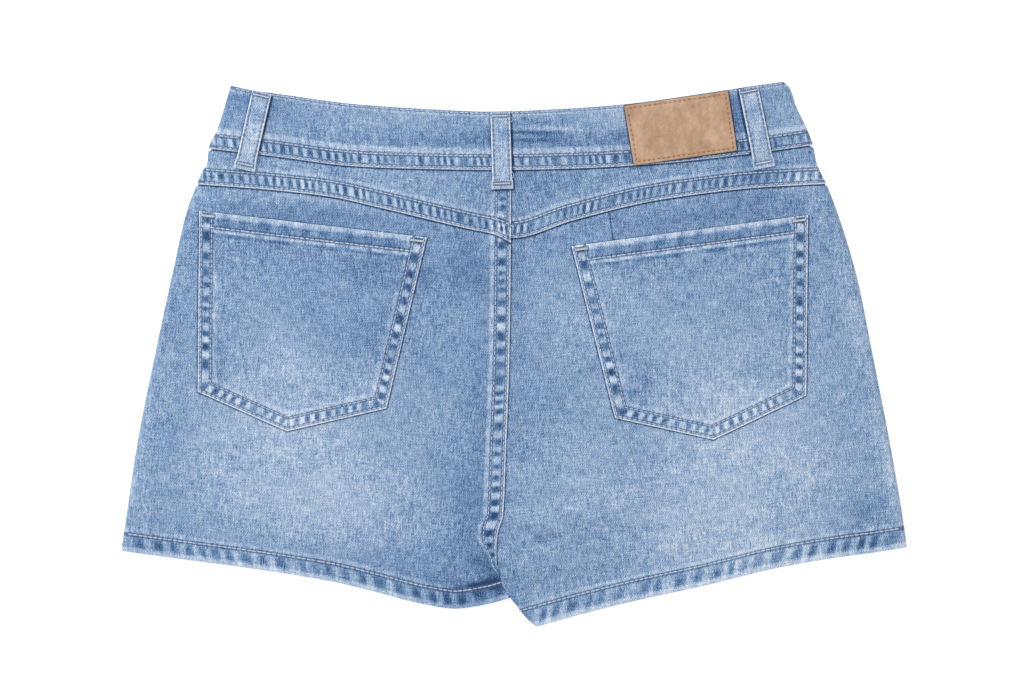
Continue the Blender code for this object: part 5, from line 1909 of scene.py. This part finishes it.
class SKORT_OT_fronts(bpy.types.Operator):
    """Make the hidden front: skirt panel, front legs and the lapped waistband"""

    bl_idname = "skort.fronts"
    bl_label = "Front, Face Down"

    def execute(self, context):
        self.make_skirt()
        self.make_legs()
        self.make_waistbands()
        return {"FINISHED"}

    @staticmethod
    def make_skirt():
        look = Look(FRONT_WEAR, FRONT_CREASES)
        hem = flat_seam(skirt_hem)
        sew_edge(look, hem, (LEFT_HEM_ROW,), FRONT_ROPING, edge_wear=0.16, groove=FRONT_GROOVE)
        left, right = moved(left_side, SKIRT_INSET), moved(right_side, -SKIRT_INSET)
        piece = cut(
            "skirt_panel", sewn_edges(under_front_waist, skirt_hem, left, right),
            both_ends(FRONT_SIDE_STATIONS, 150), Stations(FRONT_TOP_ROWS, fine(16.0, 0.6), 80),
            mirrored(0.0), mirrored(CLOTH), look, FRONTS,
        )
        lay_cloth(piece, side=-1.0)
        sew(piece, [beside_seam(skirt_hem, -246.0, 246.0, LEFT_HEM_ROW)], 321, side=-1.0)

    @staticmethod
    def make_legs():
        def left_inner(y):
            return FRONT_MIDDLE - GAP

        def under_skirt(x, y):
            return y > skirt_hem(x) - 0.6

        for node, hem, west, east, ends in [
            ("front_left", left_hem, moved(left_side, FRONT_INSET), left_inner, (-250.0, -6.0)),
            ("front_right", right_hem, front_right_inner, moved(right_side, -FRONT_INSET), (24.0, 250.0)),
        ]:
            look = Look(FRONT_WEAR)
            seam = flat_seam(hem, shift=FRONT_HEM_INSET)
            sew_edge(look, seam, (LEFT_HEM_ROW,), FRONT_ROPING, edge_wear=0.16, groove=FRONT_GROOVE)
            add_ditch(look, south_of(skirt_hem))
            piece = cut(
                node, sewn_edges(under_front_waist, moved(hem, FRONT_HEM_INSET), west, east),
                both_ends(FRONT_SIDE_STATIONS, 110), Stations(FRONT_TOP_ROWS, fine(24.0, 0.6), 50),
                mirrored(FRONT_UNDER), mirrored(FRONT_UNDER + CLOTH), look, FRONTS,
            )
            lay_cloth(piece, side=-1.0)
            row = beside_seam(hem, *ends, LEFT_HEM_ROW + FRONT_HEM_INSET)
            sew(piece, [row], 331, under_skirt, side=-1.0)

    @staticmethod
    def make_waistbands():
        lap_start, lap_end = (BUTTON_PLACE[0] + half for half in (-WAIST_OVERLAP / 2.0, WAIST_OVERLAP / 2.0))

        def left_upper(x, y):
            thinner = smooth(lap_start - END_THINS - BUTT_GAP, lap_start - BUTT_GAP, x)
            return WAISTBAND_THICKNESS - CLOTH * thinner + over_button(x, y)

        def lifted(x):
            return 1.0 - smooth(lap_end + BUTT_GAP, lap_end + BUTT_GAP + END_THINS, x)

        def right_lower(x, y):
            return LAYER * lifted(x) + over_button(x, y)

        def right_upper(x, y):
            return WAISTBAND_THICKNESS + GAP * lifted(x) + over_button(x, y)

        for node, rests_on, west, east, columns, lower, upper, ends in [
            (
                "waistband_front_left", [], moved(left_side, WAISTBAND_INSET), lambda y: lap_end,
                Stations(FRONT_WAIST_COLUMNS, LAP_END_COLUMNS, 90), over_button, left_upper,
                (-188.0, lap_end - 2.0),
            ),
            (
                "waistband_front_right", ["waistband_front_left_cloth"], lambda y: lap_start,
                moved(right_side, -WAISTBAND_INSET), Stations(LAP_END_COLUMNS, FRONT_WAIST_COLUMNS, 90),
                right_lower, right_upper, (lap_end + 1.5, 184.0),
            ),
        ]:
            look = Look()
            row = WAIST_ROWS[0]
            for seam in (flat_seam(front_waist_curve), flat_seam(front_top_curve, -1.0)):
                sew_edge(look, seam, (row,), FRONT_ROPING, edge_wear=0.2, ridge=0.04, groove=FRONT_GROOVE)
            if rests_on:
                add_ditch(look, lambda x, y: x - lap_end)
            piece = cut(
                node, sewn_edges(front_waist_top, front_waist_seam, west, east), columns,
                both_ends(FRONT_WAIST_ROWS, 24), mirrored(lower), mirrored(upper), look, WAISTBAND,
            )
            lay_cloth(piece, side=-1.0)
            rows = [beside_seam(front_waist_curve, *ends, row), beside_seam(front_top_curve, *ends, -row)]
            sew(piece, rows, 341, side=-1.0)


# The button's rings, radius and height, from the middle of its lower face round its rim to its upper face.
BUTTON_PROFILE = [
    (0.8, 0.3), (2.4, 0.22), (3.6, 0.3), (4.1, 0.62), (5.7, 0.66), (6.3, 0.3), (6.8, 0.06), (7.6, 0.0),
    (8.2, 0.12), (8.5, 0.42), (8.4, 0.85), (8.0, 1.12), (7.2, 1.2), (2.0, 1.2),
]
BUTTON_SIDES = 64


class SKORT_OT_button(bpy.types.Operator):
    """Make the waist button, face down, with its raised rim and domed middle"""

    bl_idname = "skort.button"
    bl_label = "Waist Button"

    def execute(self, context):
        angles = np.arange(BUTTON_SIDES) * 2.0 * math.pi / BUTTON_SIDES
        points = []
        for radius, height in BUTTON_PROFILE:
            x, y = BUTTON_PLACE[0] + radius * np.cos(angles), BUTTON_PLACE[1] + radius * np.sin(angles)
            points += np.column_stack([x, y, np.full(BUTTON_SIDES, height)]).tolist()
        faces = tube_faces(0, len(BUTTON_PROFILE), BUTTON_SIDES)
        brass = made_once("tumbled_brass", aged_brass, context.scene.skort_trim.brass[:])
        button = build_mesh("waist_button_brass", points, faces, brass)
        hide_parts("waist_button")
        return {"FINISHED"}


# ---- stage

PHOTO_WIDTH = 1024
PHOTO_HEIGHT = 683
PIXEL = 0.66  # mm of the skort for one pixel of the photograph
OUTLINE_ORIGIN = (513.5, 355.0)  # the pixel at the outlines' origin
CAMERA_PLANE = 3.5  # height at which PIXEL holds, the middle of the cloth's layers
SENSOR_WIDTH = 36.0
FLOOR_CELLS = 24
BELOW_CLOTH = 0.05  # the floor is this far under the cloth, so that they don't share a face
WHITE = (1.0, 1.0, 1.0, 1.0)
KEY_LIGHT_PLACE = Vector((-1.35, 1.15, 1.75))
KEY_LIGHT_SIZE = 2.2


class SKORT_OT_stage(bpy.types.Operator):
    """Make the pale floor, the soft light and the camera straight above"""

    bl_idname = "skort.stage"
    bl_label = "Floor, Light and Camera"

    def execute(self, context):
        scene, stage = context.scene, context.scene.skort_stage
        self.lay_floor(scene, stage)
        self.light(scene, stage)
        self.aim_camera(scene, stage)
        scene.view_settings.view_transform = "Standard"
        return {"FINISHED"}

    @staticmethod
    def lay_floor(scene, stage):
        """Opal acrylic of a light table, cast and matted.

        It is white and lit faintly from within, so shadows stay pale.
        """
        material, tree, shader, place = new_material("opal_acrylic")
        tooth = add(tree, "TexNoise", {"Vector": place, "Scale": 900.0, "Detail": 2.0}).outputs["Fac"]
        ramp = add(tree, "ValToRGB", {"Fac": tooth})
        matted = set_ramp(ramp, [(0.3, scaled(stage.floor_colour, 0.985)), (0.7, stage.floor_colour)])
        feed(tree, shader, {
            "Base Color": matted, "Roughness": 0.95, "Specular IOR Level": 0.1, "Emission Color": WHITE,
            "Emission Strength": stage.floor_glow,
        })
        line = np.linspace(-0.5, 0.5, FLOOR_CELLS + 1) * stage.floor_size
        x, y = np.meshgrid(line, line)
        points = np.column_stack([x.ravel(), y.ravel(), np.full(x.size, -BELOW_CLOTH * MM)])
        faces = quads(np.arange(x.size).reshape(x.shape).T)
        mesh = bpy.data.meshes.new("floor")
        mesh.from_pydata(points.tolist(), [], faces)
        mesh.materials.append(material)
        floor = bpy.data.objects.new("floor", mesh)
        scene.collection.objects.link(floor)

    @staticmethod
    def light(scene, stage):
        world = bpy.data.worlds.new("white_surroundings")
        world.use_nodes = True
        tree = world.node_tree
        feed(tree, tree.nodes["Background"], {"Color": WHITE, "Strength": stage.sky_strength})
        scene.world = world
        key = bpy.data.lights.new("key_light", "AREA")
        key.shape = "DISK"
        key.size = KEY_LIGHT_SIZE
        key.energy = stage.key_power
        lamp = bpy.data.objects.new("key_light", key)
        lamp.location = KEY_LIGHT_PLACE
        lamp.rotation_euler = (-KEY_LIGHT_PLACE).to_track_quat("-Z", "Y").to_euler()
        scene.collection.objects.link(lamp)

    @staticmethod
    def aim_camera(scene, stage):
        lens = bpy.data.cameras.new("camera")
        lens.lens = stage.lens
        lens.sensor_width = SENSOR_WIDTH
        camera = bpy.data.objects.new("camera", lens)
        x = (PHOTO_WIDTH / 2.0 - OUTLINE_ORIGIN[0]) * PIXEL - BOX_MIDDLE[0]
        y = (OUTLINE_ORIGIN[1] - PHOTO_HEIGHT / 2.0) * PIXEL - BOX_MIDDLE[1]
        height = CAMERA_PLANE + stage.lens * PHOTO_WIDTH * PIXEL / SENSOR_WIDTH
        camera.location = (x * MM, y * MM, height * MM)
        scene.collection.objects.link(camera)
        scene.camera = camera


# ---- panel, registering and running

OPERATORS = (
    SKORT_OT_fronts, SKORT_OT_button, SKORT_OT_backs, SKORT_OT_yokes, SKORT_OT_waistband, SKORT_OT_pockets,
    SKORT_OT_belt_loops, SKORT_OT_patch, SKORT_OT_stage,
)
PROPERTY_GROUPS = {
    "skort_cloth": SKORT_PG_cloth,
    "skort_sewing": SKORT_PG_sewing,
    "skort_trim": SKORT_PG_trim,
    "skort_stage": SKORT_PG_stage,
}


class SKORT_PT_panel(bpy.types.Panel):
    """The pieces of the skort, and the sizes and colours that can be changed"""

    bl_idname = "SKORT_PT_panel"
    bl_label = "Denim Skort"
    bl_space_type = "VIEW_3D"
    bl_region_type = "UI"
    bl_category = "Skort"

    def draw(self, context):
        layout = self.layout
        for name, group in PROPERTY_GROUPS.items():
            box = layout.box()
            for setting in group.__annotations__:
                box.prop(getattr(context.scene, name), setting)
        for operator in OPERATORS:
            layout.operator(operator.bl_idname)


CLASSES = (*PROPERTY_GROUPS.values(), *OPERATORS, SKORT_PT_panel)


def register():
    for made in CLASSES:
        bpy.utils.register_class(made)
    for name, group in PROPERTY_GROUPS.items():
        setattr(bpy.types.Scene, name, bpy.props.PointerProperty(type=group))


def unregister():
    for name in PROPERTY_GROUPS:
        delattr(bpy.types.Scene, name)
    for made in reversed(CLASSES):
        bpy.utils.unregister_class(made)


def main():
    register()
    for operator in OPERATORS:
        group, name = operator.bl_idname.split(".")
        getattr(getattr(bpy.ops, group), name)()


if __name__ == "__main__":
    main()
